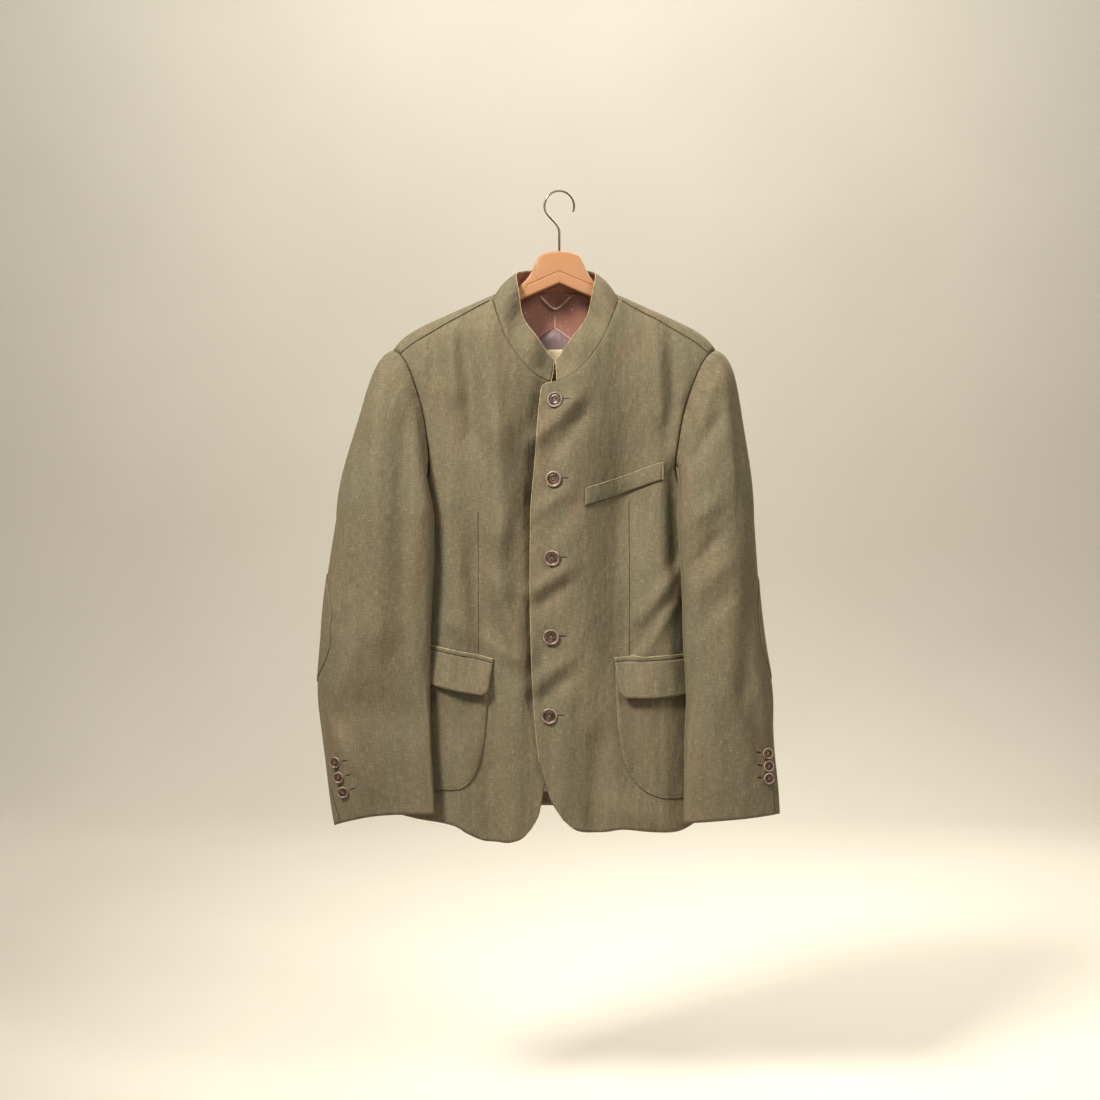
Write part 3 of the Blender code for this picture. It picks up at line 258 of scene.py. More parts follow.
# The same on the sleeves' hidden sides
SLEEVE_BACK_FOLDS = (
    Fold(-296, 540, -246, 600, 13, -2.0),
    Fold(-302, 590, -236, 640, 11, 1.8),
    Fold(-226, 660, -214, 800, 20, 1.8),
    Fold(-286, 690, -276, 800, 16, -1.6),
    Fold(262, 530, 216, 590, 13, -2.0),
    Fold(268, 585, 210, 632, 11, 1.8),
    Fold(228, 660, 236, 800, 20, 1.6),
    Fold(276, 700, 282, 800, 14, -1.4),
)

# The armhole seam from the underarm up the front, over the tip and down the back
Armhole = namedtuple("Armhole", "across drop side")
ARMHOLE = (
    Armhole(236, 431, FRONT),
    Armhole(212, 430, FRONT),
    Armhole(190, 425, FRONT),
    Armhole(175, 412, FRONT),
    Armhole(168, 383, FRONT),
    Armhole(172, 340, FRONT),
    Armhole(178.5, 306, FRONT),
    Armhole(188.6, 273, FRONT),
    Armhole(199, 247, FRONT),
    Armhole(211, 229, FRONT),
    Armhole(218.5, 224, FRONT),
    Armhole(222.6, 220.3, BACK),
    Armhole(218.5, 230, BACK),
    Armhole(210, 258, BACK),
    Armhole(204, 300, BACK),
    Armhole(202, 345, BACK),
    Armhole(207, 385, BACK),
    Armhole(219, 416, BACK),
    Armhole(236, 431, BACK),
)
UNDERARM_FRONT = 0
FRONT_NOTCH = 4
SHOULDER_SEAM = 9
SHOULDER_TIP = 11
HIND_SEAM = 14
UNDERARM_BACK = 18

# The neck seam from centre back to centre front, and the collar's free edge above it
Neck = namedtuple("Neck", "across drop side top_across top_drop top_depth")
NECK = (
    Neck(0, 140, BACK, 0, 103, 30),
    Neck(40, 141.5, BACK, 29, 104.5, 26),
    Neck(70, 145.5, BACK, 47, 108, 14),
    Neck(86.5, 151, FRONT, 54, 115, -4),
    Neck(83.5, 163, FRONT, 53, 130, -16),
    Neck(77.3, 181, FRONT, 49.5, 150, -24),
    Neck(66.5, 207.5, FRONT, 42.5, 176, -30),
    Neck(57.3, 222.6, FRONT, 36, 192, -34),
    Neck(43.5, 241.7, FRONT, 25, 210.5, -38),
    Neck(25.7, 259, FRONT, 12.5, 224, -41),
    Neck(4.2, 269.8, FRONT, 0.9, 236.5, -43),
)
NECK_AT_SEAM = 3
NECK_END = 10
COLLAR_BULGE = 2.5
COLLAR_GAP = 0.5
COLLAR_END_FROM = 0.9
COLLAR_END_CLOSE = 1.5

# Front edges from the rounded lower corner up to the lap's top corner
Edge = namedtuple("Edge", "across drop")
FRONT_EDGE = {
    LEFT: (
        Edge(22.8, 861.5), Edge(7.4, 838), Edge(-2.4, 811.5), Edge(-11.2, 778), Edge(-16.7, 737),
        Edge(-22, 671), Edge(-26.2, 590), Edge(-28, 510), Edge(-28, 435), Edge(-23.8, 377),
        Edge(-20.8, 320), Edge(-17.5, 279),
    ),
    RIGHT: (
        Edge(20.3, 875), Edge(11, 858.8), Edge(7.3, 842.6), Edge(2.4, 814), Edge(-8, 780),
        Edge(-16, 740), Edge(-22, 671), Edge(-26, 590), Edge(-27, 510), Edge(-27, 435),
        Edge(-22, 350), Edge(-17.5, 279),
    ),
}
LAP_TOP = (Edge(-17.5, 279), Edge(-13, 273.6), Edge(4.2, 269.8))
HEM = {
    LEFT: (
        Edge(22.8, 861.5), Edge(39.2, 875), Edge(55.5, 879.6), Edge(77, 879.6), Edge(104, 876.4),
        Edge(139, 880.4), Edge(175.5, 881.8), Edge(195, 876.4), Edge(216, 864), Edge(239, 851),
    ),
    RIGHT: (
        Edge(20.3, 875), Edge(32, 887), Edge(49.5, 892.6), Edge(62, 892.6), Edge(83, 891.2),
        Edge(105, 881.8), Edge(121.5, 872.3), Edge(145, 868), Edge(180, 864.2), Edge(226, 855),
        Edge(239, 851),
    ),
}
BACK_HEM_SIDE = 851.0
BACK_HEM_CENTRE = 858.0

# Sleeves, ring by ring: the fold lines, and how far the cloth stands off the line between them
Ring = namedtuple("Ring", "drop inner_x inner_y outer_x outer_y front back")
SLEEVE_RINGS = {
    RIGHT: (
        Ring(455, -169.5, -64, -303, -22, 38, 20),
        Ring(510, -169.3, -64, -312.7, -22, 35, 21),
        Ring(565, -172, -63, -321, -22, 32, 21),
        Ring(618, -174, -62, -325.5, -22, 30, 21),
        Ring(690, -174.7, -62, -330.5, -24, 28, 20),
        Ring(752, -173.4, -62, -323.7, -28, 24, 18),
        Ring(818, -169.3, -62, -314, -34, 18, 15),
        Ring(854, -168.1, -62, -307, -38, 14, 13),
    ),
    LEFT: (
        Ring(455, 159, -66, 262, -14, 38, 16),
        Ring(510, 163, -65, 266, -13, 38, 17),
        Ring(565, 166, -64, 271, -12, 37, 17),
        Ring(618, 167, -64, 278, -12, 36, 18),
        Ring(690, 171, -64, 290.5, -12, 33, 18),
        Ring(752, 168.5, -65, 292.5, -16, 28, 17),
        Ring(818, 167, -67, 298.5, -26, 20, 14),
        Ring(864, 166, -68, 301.4, -33, 15, 12),
    ),
}
RING_FULLNESS = 0.8
ARMHOLE_GAP = 0.1
SLEEVE_FIRST_RING = 455.0
CUFF_SLANT_START = 770.0
CUFF_SLANT = {RIGHT: 18.0, LEFT: -8.0}
CUFF_SLANT_POWER = {RIGHT: 4, LEFT: 1}

# How the sleeve leaves its seam, round from the front notch; turn counts round the sleeve
Leave = namedtuple("Leave", "turn out forward down length lift")
SLEEVE_HEAD = (
    Leave(0.00, 0.45, 0.85, 0.20, 16, 25),
    Leave(0.10, 0.65, 0.65, 0.40, 24, 60),
    Leave(0.20, 0.80, 0.45, 0.35, 34, 100),
    Leave(0.32, 0.93, 0.05, 0.32, 40, 120),
    Leave(0.42, 0.85, -0.40, 0.32, 44, 110),
    Leave(0.50, 0.85, -0.40, 0.35, 40, 70),
    Leave(0.60, 0.98, -0.10, 0.00, 24, 30),
    Leave(0.66, 0.90, 0.40, 0.40, 6, 8),
    Leave(0.74, 0.20, 0.95, 0.00, 9, 8),
    Leave(0.82, 0.00, 1.00, 0.00, 10, 9),
    Leave(0.90, 0.10, 1.00, 0.00, 12, 12),
    Leave(1.00, 0.45, 0.85, 0.20, 16, 25),
)
TIP_TURN = 0.32
HIND_TURN = 0.5
UNDER_TURN = 2 / 3
UNDERARM_LIFT_FROM = 0.1
SLEEVE_SEAM_TURN = 0.0006
CREASE_START = 0.4
GIRTH_STEPS = 100
SHOWN_TURNS = (0.05, 0.48)
TURN_TRIES = 200

# Patch pockets: inner and outer edges at each drop
Span = namedtuple("Span", "drop inner outer")
POCKET = {
    LEFT: (
        Span(656, 90.5, 224), Span(697, 91.7, 224), Span(751, 96.7, 223), Span(784, 104, 220),
        Span(807, 115.3, 214), Span(825.5, 133.3, 203), Span(834.4, 152.5, 190),
        Span(836.5, 163, 182),
    ),
    RIGHT: (
        Span(653, 80, 222), Span(697, 81.7, 222), Span(738, 83.7, 220), Span(767, 87.3, 217),
        Span(794, 93.5, 210), Span(812, 104, 197), Span(821, 117.5, 182), Span(823, 131, 170),
    ),
}
POCKET_ROW_POWER = 1.6

# Flaps, and the raised strip that each hangs from
Flap = namedtuple("Flap", "inner outer top slope height lean corner")
FLAP = {
    LEFT: Flap(87.5, 226, 643.3, -0.049, 56.0, 0.12, 6.0),
    RIGHT: Flap(75.0, 224, 643.3, -0.211, 52.5, 0.10, 6.0),
}
FLAP_WELT_HEIGHT = 6.5
FLAP_WELT_WALL = 3.4
FLAP_WELT_EDGE = 0.75
FLAP_WAVE = 0.35
FLAP_CURL = 1.2
FLAP_WAVES = 1.3

# The chest pocket's welt
Welt = namedtuple("Welt", "inner outer top_inner top_outer height")
CHEST_WELT = Welt(44.0, 149.5, 414.0, 377.5, 24.0)
WELT_EDGE = 0.7

# Buttons
FRONT_BUTTON_RADIUS = 11.0
FRONT_BUTTON_ACROSS = 2.0
FRONT_BUTTON_FIRST = 295.0
FRONT_BUTTON_SPACING = 106.5
FRONT_BUTTONS = 5
FRONT_BUTTON_DROPS = [FRONT_BUTTON_FIRST + i * FRONT_BUTTON_SPACING for i in range(FRONT_BUTTONS)]
CUFF_BUTTON_RADIUS = 7.75
CUFF_BUTTON_GAP = 2.2
CUFF_BUTTON_LEAN = 0.6
CUFF_BUTTONS = {
    RIGHT: (Edge(-300.3, 782), Edge(-295.5, 800), Edge(-289.8, 817.5)),
    LEFT: (Edge(281.3, 773.5), Edge(282.6, 791.5), Edge(282, 809.5)),
}

# Elbow patches, round the hind fold
ELBOW_DROP = 603.0
ELBOW_HALF_HEIGHT = 78.0
ELBOW_FIRST_TURN = 9 / 24
ELBOW_LAST_TURN = 17 / 24
ELBOW_ROUNDNESS = 0.9

# Inside the back of the neck
FACING_HALF_WIDTH = 63.0
FACING_START = -4.0
FACING_CENTRE_DROP = 183.0
FACING_SLOPE = 0.72
FACING_SPECK_SHARE = 0.7
LINING_HALF_WIDTH = 175.0
LINING_END = 838.0
LABEL_WALL = 0.6
LABEL_HALF_WIDTH = 13.0
LABEL_TOP = 214.0
LABEL_END = 237.0
LABEL_LIFT = 0.5
LABEL_CELLS = 8
CENTRE_SEAM_TOP = 168.0
PIPING_RADIUS = 0.9
TRIM_STEPS = 16
LOOP_HALF_WIDTH = 21.0
LOOP_TOP = 140.0
LOOP_BOTTOM = 157.0
LOOP_RADIUS = 1.5
LOOP_STAND_OFF = 0.4
LOOP_SAG_FORWARD = 1.5
LOOP_ROUNDING = 0.3
LOOP_POINTS = 40

# The hanger's outline at the middle; farther out it follows the shoulder
Bar = namedtuple("Bar", "across top bottom half_depth")
HANGER_HEAD = (
    Bar(0.15, 82.4, 128.2, 7.5),
    Bar(14, 84.0, 134.2, 7.5),
    Bar(24, 87.2, 138.5, 7.5),
    Bar(29, 91.0, 140.6, 7.5),
    Bar(34, 101.0, 142.8, 7.3),
    Bar(38.5, 111.5, 144.7, 7.0),
    Bar(47, 123.2, 148.4, 6.5),
    Bar(59, 134.0, 155.0, 6.5),
    Bar(71, 147.5, 166.0, 6.5),
    Bar(84, 150.0, 171.0, 7.0),
    Bar(97, 153.8, 175.5, 7.5),
)
HANGER_ARM_ACROSS = (112, 130, 148, 165, 180, 192)
HANGER_ARM_HEIGHT = 22.0
HANGER_ARM_HALF_DEPTH = 7.5
HANGER_EDGE = 3.5
HANGER_GAP = 1.25
HANGER_CELLS = 90
HANGER_CORNER_STEPS = 4
HANGER_SHARP_ANGLE = 25

# The groove in the hanger's head, parallel to its lower edge, and the joint between its halves
HANGER_GROOVE_RISE = 17.0
HANGER_GROOVE_HALF = 1.3
HANGER_GROOVE_DEPTH = 0.8
HANGER_GROOVE_FADE = 5.0
JOINT_RADIUS = 0.4
JOINT_SET = 0.25

# The wire hook
HOOK_WIRE = 1.5
HOOK_INNER_RADIUS = 19.0
HOOK_STEM_TOP = 56.0
HOOK_TIP_ANGLE = -25
HOOK_LEAVE_ANGLE = 222
HOOK_LEAVE_REACH = 12.0
HOOK_STEM_REACH = 10.0
HOOK_SET = 1.0
HOOK_CROOK_STEPS = 40
HOOK_BEND_STEPS = 12

# Shells: the shares at a panel's corners and how many cells run between them
Band = namedtuple("Band", "first last cells")
FRONT_BANDS = (
    Band(0.0, FRONT_UNDERARM, 72), Band(FRONT_UNDERARM, FRONT_LAP, 48),
    Band(FRONT_LAP, FRONT_NECK, 6), Band(FRONT_NECK, 1.0, 28),
)
FRONT_CELLS = 64
BACK_BANDS = (
    Band(0.0, BACK_UNDERARM, 76), Band(BACK_UNDERARM, BACK_RIDGE, 40), Band(BACK_RIDGE, 1.0, 30),
)
BACK_COLUMN_BANDS = (
    Band(0.0, BACK_SEAM, 30), Band(BACK_SEAM, 0.5, 18),
    Band(0.5, 1 - BACK_SEAM, 18), Band(1 - BACK_SEAM, 1.0, 30),
)
SLEEVE_CAP_CELLS = 36
SLEEVE_CELLS = 84
SLEEVE_ROUND_CELLS = 36
COLLAR_BANDS = (Band(-1.0, 0.0, 56), Band(0.0, 1.0, 56))
COLLAR_CELLS = 20
POCKET_CELLS = 32
FLAP_CELLS = 36
FLAP_DROP_CELLS = 14
WELT_CELLS = 30
WELT_ROUND_CELLS = 8
PATCH_CELLS = 26
LINING_CELLS = 40

# A seam where two panels meet: the shell's edge and the shares it runs between; reach is in seam widths
Seam = namedtuple("Seam", "edge first last")
SEAM_REACH = 3

# The cut of each cloth piece, in metres and square metres, and how it is held
Cut = namedtuple("Cut", "width length area held rests_on")
CUTS = {
    "front_left": Cut(0.285, 0.730, 0.171, "hung", ["hanger_left"]),
    "front_right": Cut(0.285, 0.740, 0.175, "hung", ["hanger_right"]),
    "back": Cut(0.490, 0.760, 0.337, "hung", ["hanger_left", "hanger_right"]),
    "collar": Cut(0.450, 0.050, 0.020, "hung", ["back"]),
    "sleeve_left_top": Cut(0.190, 0.660, 0.103, "hung", ["front_left", "back"]),
    "sleeve_left_under": Cut(0.150, 0.565, 0.066, "hung", ["front_left", "back"]),
    "sleeve_right_top": Cut(0.210, 0.660, 0.115, "hung", ["front_right", "back"]),
    "sleeve_right_under": Cut(0.183, 0.572, 0.079, "hung", ["front_right", "back"]),
    "elbow_patch_left": Cut(0.095, 0.158, 0.0115, "laid", ["sleeve_left_top", "sleeve_left_under"]),
    "elbow_patch_right": Cut(0.110, 0.158, 0.0135, "laid", ["sleeve_right_top", "sleeve_right_under"]),
    "pocket_left": Cut(0.140, 0.184, 0.0230, "laid", ["front_left"]),
    "pocket_right": Cut(0.146, 0.174, 0.0240, "laid", ["front_right"]),
    "flap_left": Cut(0.150, 0.052, 0.0077, "hung", ["flap_welt_left"]),
    "flap_right": Cut(0.160, 0.051, 0.0080, "hung", ["flap_welt_right"]),
    "flap_welt_left": Cut(0.140, 0.011, 0.0013, "laid", ["front_left"]),
    "flap_welt_right": Cut(0.150, 0.011, 0.0013, "laid", ["front_right"]),
    "chest_welt": Cut(0.114, 0.028, 0.0030, "laid", ["front_left"]),
    "neck_facing": Cut(0.130, 0.093, 0.0089, "laid", ["back"]),
    "back_lining": Cut(0.360, 0.660, 0.210, "laid", ["back"]),
    "label": Cut(0.027, 0.024, None, "laid", ["back_lining"]),
}

# Seam lines drawn as sunk dark cords that paint the shade in the seams: two ends on the front, or on a
# sleeve's shown side
Dart = namedtuple("Dart", "side across_top drop_top across_end drop_end")
DARTS = (
    Dart(RIGHT, 99.5, 446, 96, 640),
    Dart(LEFT, 105.6, 431, 109.6, 641),
)
SEAM_LINE_START = 0.04
DART_STEPS = 40
Vent = namedtuple("Vent", "side x_top drop_top x_end drop_end")
VENTS = (
    Vent(RIGHT, -310, 812, -296, 851),
    Vent(LEFT, 289, 812, 293, 860),
)
VENT_STEPS = 14

# Pressed folds along the lap, the chest welt and the strips above the flaps, drawn as pale cords that paint
# their highlight
PRESSED_FOLD_RADIUS = 0.55
FOLD_STEPS = 90
LAP_FOLD_FROM = 0.12
STRIP_FOLD_AT = 0.1

# Prick stitches round the patch pockets
STITCH_ROWS = 40
STITCH_CORNER = 12.0
STITCH_LIFT = 0.9

# A turned button with a rim, a groove and a dished middle, as shares of its radius
Turn = namedtuple("Turn", "radius height")
BUTTON_TURNING = (
    Turn(0.00, 0.00), Turn(0.78, 0.00), Turn(0.96, 0.09), Turn(1.00, 0.16), Turn(0.99, 0.24),
    Turn(0.92, 0.32), Turn(0.84, 0.33), Turn(0.76, 0.27), Turn(0.68, 0.19), Turn(0.60, 0.19),
    Turn(0.53, 0.23), Turn(0.44, 0.22), Turn(0.30, 0.18), Turn(0.00, 0.17),
)
BUTTON_STEPS = 36
# Faces beyond this share of the radius take the rim's paler colour, a painted highlight
BUTTON_RIM_FROM = 0.74
HOLE_PLACE = 0.22
HOLE_RADIUS = 0.10
HOLE_HEIGHT = 0.195
HOLE_SIDES = 10
HOLE_CORNERS = ((1, 1), (-1, 1), (-1, -1), (1, -1))
CROSSED_HOLES = ((0, 2), (1, 3))
THREAD_RADIUS = 0.45
THREAD_HEIGHT = 0.24

# Worked buttonholes, a lens of dark thread beside each button
BUTTONHOLE_START = 10.0
BUTTONHOLE_LENGTH = 10.5
BUTTONHOLE_WIDTH = 2.0
BUTTONHOLE_HEIGHT = 0.9
BUTTONHOLE_RISE = 1.5
BUTTONHOLE_FINENESS = 3
CUFF_BUTTONHOLE_LENGTH = 8.5
CUFF_BUTTONHOLE_RISE = 0.22
CUFF_BUTTONHOLE_LIFT = 2.0

# The collar's dents and swells, and the pale cord along its edge that paints its highlight; turn runs from
# its right end to its left end
Dent = namedtuple("Dent", "turn height reach depth")
COLLAR_DENTS = (
    Dent(-0.50, 0.80, 0.09, 3.5),
    Dent(-0.65, 0.70, 0.08, -7.0),
    Dent(-0.83, 0.72, 0.08, 8.0),
    Dent(-1.00, 0.55, 0.09, -8.0),
    Dent(0.50, 0.80, 0.09, 3.5),
    Dent(0.64, 0.70, 0.08, -7.0),
    Dent(0.82, 0.72, 0.08, 8.5),
    Dent(1.00, 0.55, 0.09, -8.0),
    Dent(0.06, 0.50, 0.16, 2.0),
)
DENT_HEIGHT_REACH = 0.5
DENT_START = 0.3
COLLAR_STEP = 0.01
COLLAR_EDGE_RADIUS = 0.6
COLLAR_EDGE_STEPS = 160

# Marks of the smaller finishes: their width and length in metres, and how fine they break up
Mark = namedtuple("Mark", "across along detail")
HORN_STREAK = Mark(0.006, 0.0025, 3.0)
SATIN_RIB = Mark(0.0022, 0.03, 2.0)
SATIN_SPECK = Mark(0.005, 0.004, 1.0)
WOOD_CLOUD = Mark(0.05, 0.02, 2.0)
WIRE_MARK = Mark(0.0008, 0.012, 2.0)
THREAD_TWIST = 0.0008
PAPER_CLOUD = 0.6

# The camera, in metres, level with the jacket's middle; its lens gives the photo's frame
CAMERA_PLACE = (-0.0129, -2.2, -0.497)
CAMERA_LENS = 51.87
SENSOR_WIDTH = 36.0

# Soft light, in metres, watts and degrees: a narrow key at the viewer's upper left, weak panels elsewhere
Panel = namedtuple("Panel", "name place aim width height power spread colour")
PANELS = (
    Panel("key_light", (-1.62, -1.94, 1.67), (0.08, 0.0, -0.52), 0.85, 0.85, 9.0, 46, "#fff5e8"),
    Panel("right_light", (1.17, -1.40, 0.78), (0.0, 0.0, -0.45), 0.5, 0.5, 13.0, 180, "#fff5e8"),
    Panel("top_light", (0.1, -0.9, 1.4), (0.0, 0.0, -0.4), 0.9, 0.6, 6.0, 180, "#fff0dc"),
    Panel("front_light", (0.1, -2.4, -0.1), (0.0, 0.0, -0.25), 0.5, 0.5, 5.0, 180, "#fff5e8"),
    Panel("backdrop_light", (0.0, 1.0, 2.6), (0.0, 3.4, 0.0), 3.0, 1.0, 72.0, 180, "#fff9ec"),
    Panel("back_light", (0.9, 1.7, 1.2), (0.0, 0.0, -0.4), 1.2, 1.0, 26.0, 180, "#fff5e6"),
)
SKY = "#f6f3ec"
SKY_STRENGTH = 0.035

# The floor and the sweep that it makes up into the backdrop, in metres
FLOOR_DROP = 1.3
FLOOR_HALF = 5.0
SWEEP_BACK = 3.4
SWEEP_HEIGHT = 4.5
SWEEP_RADIUS = 0.9
SWEEP_STEPS = 16


def curve(keys, values, at):
    """A smooth line through the values, straight beyond both ends."""
    last = len(keys) - 1
    slopes = []
    for i in range(last + 1):
        low = max(i - 1, 0)
        high = min(i + 1, last)
        slopes.append((values[high] - values[low]) / (keys[high] - keys[low]))
    if at <= keys[0]:
        return values[0] + slopes[0] * (at - keys[0])
    if at >= keys[last]:
        return values[last] + slopes[last] * (at - keys[last])
    i = max(k for k in range(last) if keys[k] <= at)
    span = keys[i + 1] - keys[i]
    t = (at - keys[i]) / span
    return (values[i] * (2 * t**3 - 3 * t**2 + 1) + slopes[i] * span * (t**3 - 2 * t**2 + t)
            + values[i + 1] * (3 * t**2 - 2 * t**3) + slopes[i + 1] * span * (t**3 - t**2))


def column(table, name, at):
    """A table's named column at a value of its first column."""
    return curve([row[0] for row in table], [getattr(row, name) for row in table], at)


def smooth_step(low, high, value):
    """A share that goes softly from 0 at the low value to 1 at the high one."""
    share = min(max((value - low) / (high - low), 0.0), 1.0)
    return share * share * (3 - 2 * share)


def spread(count, low=0.0, high=1.0):
    """Values at that many equal steps from low to high."""
    return [low + (high - low) * i / count for i in range(count + 1)]


def blend(first, last, share):
    return first + (last - first) * share


def easy_bend(start, near, far, end, share):
    """A point of the smooth line that leaves the start toward near and comes to the end from far."""
    rest = 1 - share
    return start * rest**3 + near * 3 * rest**2 * share + far * 3 * rest * share**2 + end * share**3


class Path:
    """A smooth line through points of the (across, along) chart, by share of its length."""

    def __init__(self, points):
        self.points = points
        self.keys = [0.0]
        for here, there in zip(points, points[1:]):
            self.keys.append(self.keys[-1] + math.dist(here, there))

    def key(self, index):
        return self.keys[index] / self.keys[-1]

    def at(self, share):
        place = share * self.keys[-1]
        return tuple(curve(self.keys, [p[i] for p in self.points], place) for i in range(2))

    def between(self, first, last, share):
        return self.at(blend(self.key(first), self.key(last), share))


def shoulder_forward(across, drop):
    """How far the shoulders come toward the viewer."""
    fade = 1 - smooth_step(FORWARD_UNTIL, FORWARD_GONE, drop)
    return SHOULDER_FORWARD * (across / SHOULDER_REACH) ** 2 * fade


def centre_line(drop):
    return CENTRE_AT_NECK + CENTRE_LEAN * (drop - NECK_DROP)


def ridge_drop(across):
    return column(RIDGE, "drop", abs(across))


def hung_drop(across, below):
    """The drop that far below the ridge; rows run level once the ridge's slope has faded."""
    ease = 1 - smooth_step(0.0, RIDGE_FADE, below)
    return RIDGE_LEVEL + below + (ridge_drop(across) - RIDGE_LEVEL) * ease


def chart(across, drop, side):
    """Distance along the cloth from the shoulder ridge, negative on the front."""
    below = max(drop - ridge_drop(across), 0.0)
    for _ in range(CHART_TRIES):
        below = max(below + drop - hung_drop(across, below), 0.0)
    return side * math.sqrt((below + RIDGE_ROLL) ** 2 - RIDGE_ROLL**2)


def charted(rows, side):
    return [(row.across, chart(row.across, row.drop, side)) for row in rows]


def fold_height(folds, x, drop):
    """How far the folds bring the cloth toward the viewer here."""
    height = 0.0
    for fold in folds:
        length = math.hypot(fold.x_end - fold.x_top, fold.drop_end - fold.drop_top)
        way_x = (fold.x_end - fold.x_top) / length
        way_d = (fold.drop_end - fold.drop_top) / length
        along = (x - fold.x_top) * way_x + (drop - fold.drop_top) * way_d
        off = (x - fold.x_top) * way_d - (drop - fold.drop_top) * way_x
        past = max(-along, along - length, 0.0) / (FOLD_END_SOFTNESS * fold.width)
        height += fold.height * math.exp(-((off / fold.width) ** 2) - past**2)
    return height


def body_point(across, along, lap=0):
    """A point of the body's outer face; lap is LEFT, RIGHT or 0 for no overlap."""
    below = math.hypot(along, RIDGE_ROLL) - RIDGE_ROLL
    drop = hung_drop(across, below)
    rounding = ROUNDING_AT_NECK - ROUNDING_LOSS * (across / SHOULDER_REACH) ** 2
    rise = math.sqrt(1 - (1 - min(below / rounding, 1.0)) ** 2)
    half_width = column(LEVELS, "half_width", drop)
    depth = column(LEVELS, "front_depth" if along < 0 else "back_depth", drop)
    depth *= rise * (1 - min(abs(across) / half_width, 1.0) ** SIDE_POWER)
    x = across + centre_line(drop)
    y = -shoulder_forward(across, drop)
    inside = 1 - smooth_step(FOLDS_FADE_FROM, 1.0, abs(across) / half_width)
    if along < 0:
        y -= depth + fold_height(BODY_FOLDS + LAP_FOLDS[lap], x, drop) * rise * inside
        y -= lap * LAP_LIFT * (1 - smooth_step(LAP_FULL, LAP_END, abs(across)))
    else:
        y += depth + fold_height(BACK_FOLDS, x, drop) * rise * inside
    return Vector((x, y, -drop))


def body_normal(across, along, lap=0):
    step = NORMAL_STEP
    over_across = body_point(across + step, along, lap) - body_point(across - step, along, lap)
    over_along = body_point(across, along + step, lap) - body_point(across, along - step, lap)
    return over_across.cross(over_along).normalized()


def on_front(side, across, drop, height):
    """A point above the front on that side; across counts outward from the centre line."""
    along = chart(across, drop, FRONT)
    return body_point(side * across, along, side) + height * body_normal(side * across, along, side)


def coons(left, right, bottom, top, s, v):
    """A point of the patch between four edges."""
    corners = (bottom(0.0), bottom(1.0), top(0.0), top(1.0))
    point = []
    for i in range(2):
        sides = (1 - s) * left(v)[i] + s * right(v)[i]
        ends = (1 - v) * bottom(s)[i] + v * top(s)[i]
        low = (1 - s) * corners[0][i] + s * corners[1][i]
        high = (1 - s) * corners[2][i] + s * corners[3][i]
        point.append(sides + ends - (1 - v) * low - v * high)
    return point


def shoulder_seam(share):
    start = neck_path().points[NECK_AT_SEAM]
    end = armhole_path().points[SHOULDER_SEAM]
    return tuple(blend(a, b, share) for a, b in zip(start, end))


@cache
def armhole_path():
    return Path([(row.across, chart(row.across, row.drop, row.side)) for row in ARMHOLE])


@cache
def neck_path():
    return Path([(row.across, chart(row.across, row.drop, row.side)) for row in NECK])


def side_seam(share, side, hem_drop):
    """Chart point of the side seam, from the hem up to the underarm."""
    drop = blend(hem_drop, ARMHOLE[0].drop, share)
    across = column(LEVELS, "half_width", drop)
    return across, chart(across, drop, side)


def ring_form(side, turn, drop):
    """A point of the hanging sleeve without creases; turn runs from the inner fold over the front."""
    rings = SLEEVE_RINGS[side]
    fold_in = Vector((column(rings, "inner_x", drop), column(rings, "inner_y", drop)))
    fold_out = Vector((column(rings, "outer_x", drop), column(rings, "outer_y", drop)))
    way = (fold_out - fold_in).normalized()
    forward = Vector((way.y, -way.x)) * side
    wave = math.sin(math.tau * turn)
    stand_off = column(rings, "front" if wave > 0 else "back", drop)
    share = (1 - math.cos(math.tau * turn)) / 2
    flat = fold_in.lerp(fold_out, share)
    flat += forward * math.copysign(stand_off * abs(wave) ** RING_FULLNESS, wave)
    slant = smooth_step(CUFF_SLANT_START, rings[-1].drop, drop)
    low = drop + slant * CUFF_SLANT[side] * share ** CUFF_SLANT_POWER[side]
    return Vector((flat.x, flat.y, -low))


def creased(point, turn, strength):
    """A sleeve's point moved by the creases of the side it is on."""
    wave = math.sin(math.tau * turn)
    folds = SLEEVE_FOLDS if wave > 0 else SLEEVE_BACK_FOLDS
    point.y -= fold_height(folds, point.x, -point.z) * wave * strength
    return point


def ring_point(side, turn, drop):
    return creased(ring_form(side, turn, drop), turn, 1.0)


def ring_normal(side, turn, drop):
    """The way out of the hanging sleeve, from points a button's radius away."""
    reach = 0.03
    fall = 5.0
    around = ring_point(side, turn + reach, drop) - ring_point(side, turn - reach, drop)
    along = ring_point(side, turn, drop + fall) - ring_point(side, turn, drop - fall)
    return along.cross(around).normalized() * side


def armhole_point(side, turn):
    """A point of the armhole seam, matched to the sleeve's turns."""
    armhole = armhole_path()
    turn = turn % 1.0
    if turn <= TIP_TURN:
        place = armhole.between(FRONT_NOTCH, SHOULDER_TIP, turn / TIP_TURN)
    elif turn <= HIND_TURN:
        place = armhole.between(SHOULDER_TIP, HIND_SEAM, (turn - TIP_TURN) / (HIND_TURN - TIP_TURN))
    elif turn <= UNDER_TURN:
        place = armhole.between(HIND_SEAM, UNDERARM_BACK, (turn - HIND_TURN) / (UNDER_TURN - HIND_TURN))
    else:
        place = armhole.between(UNDERARM_FRONT, FRONT_NOTCH, (turn - UNDER_TURN) / (1 - UNDER_TURN))
    return body_point(side * place[0], place[1], side)


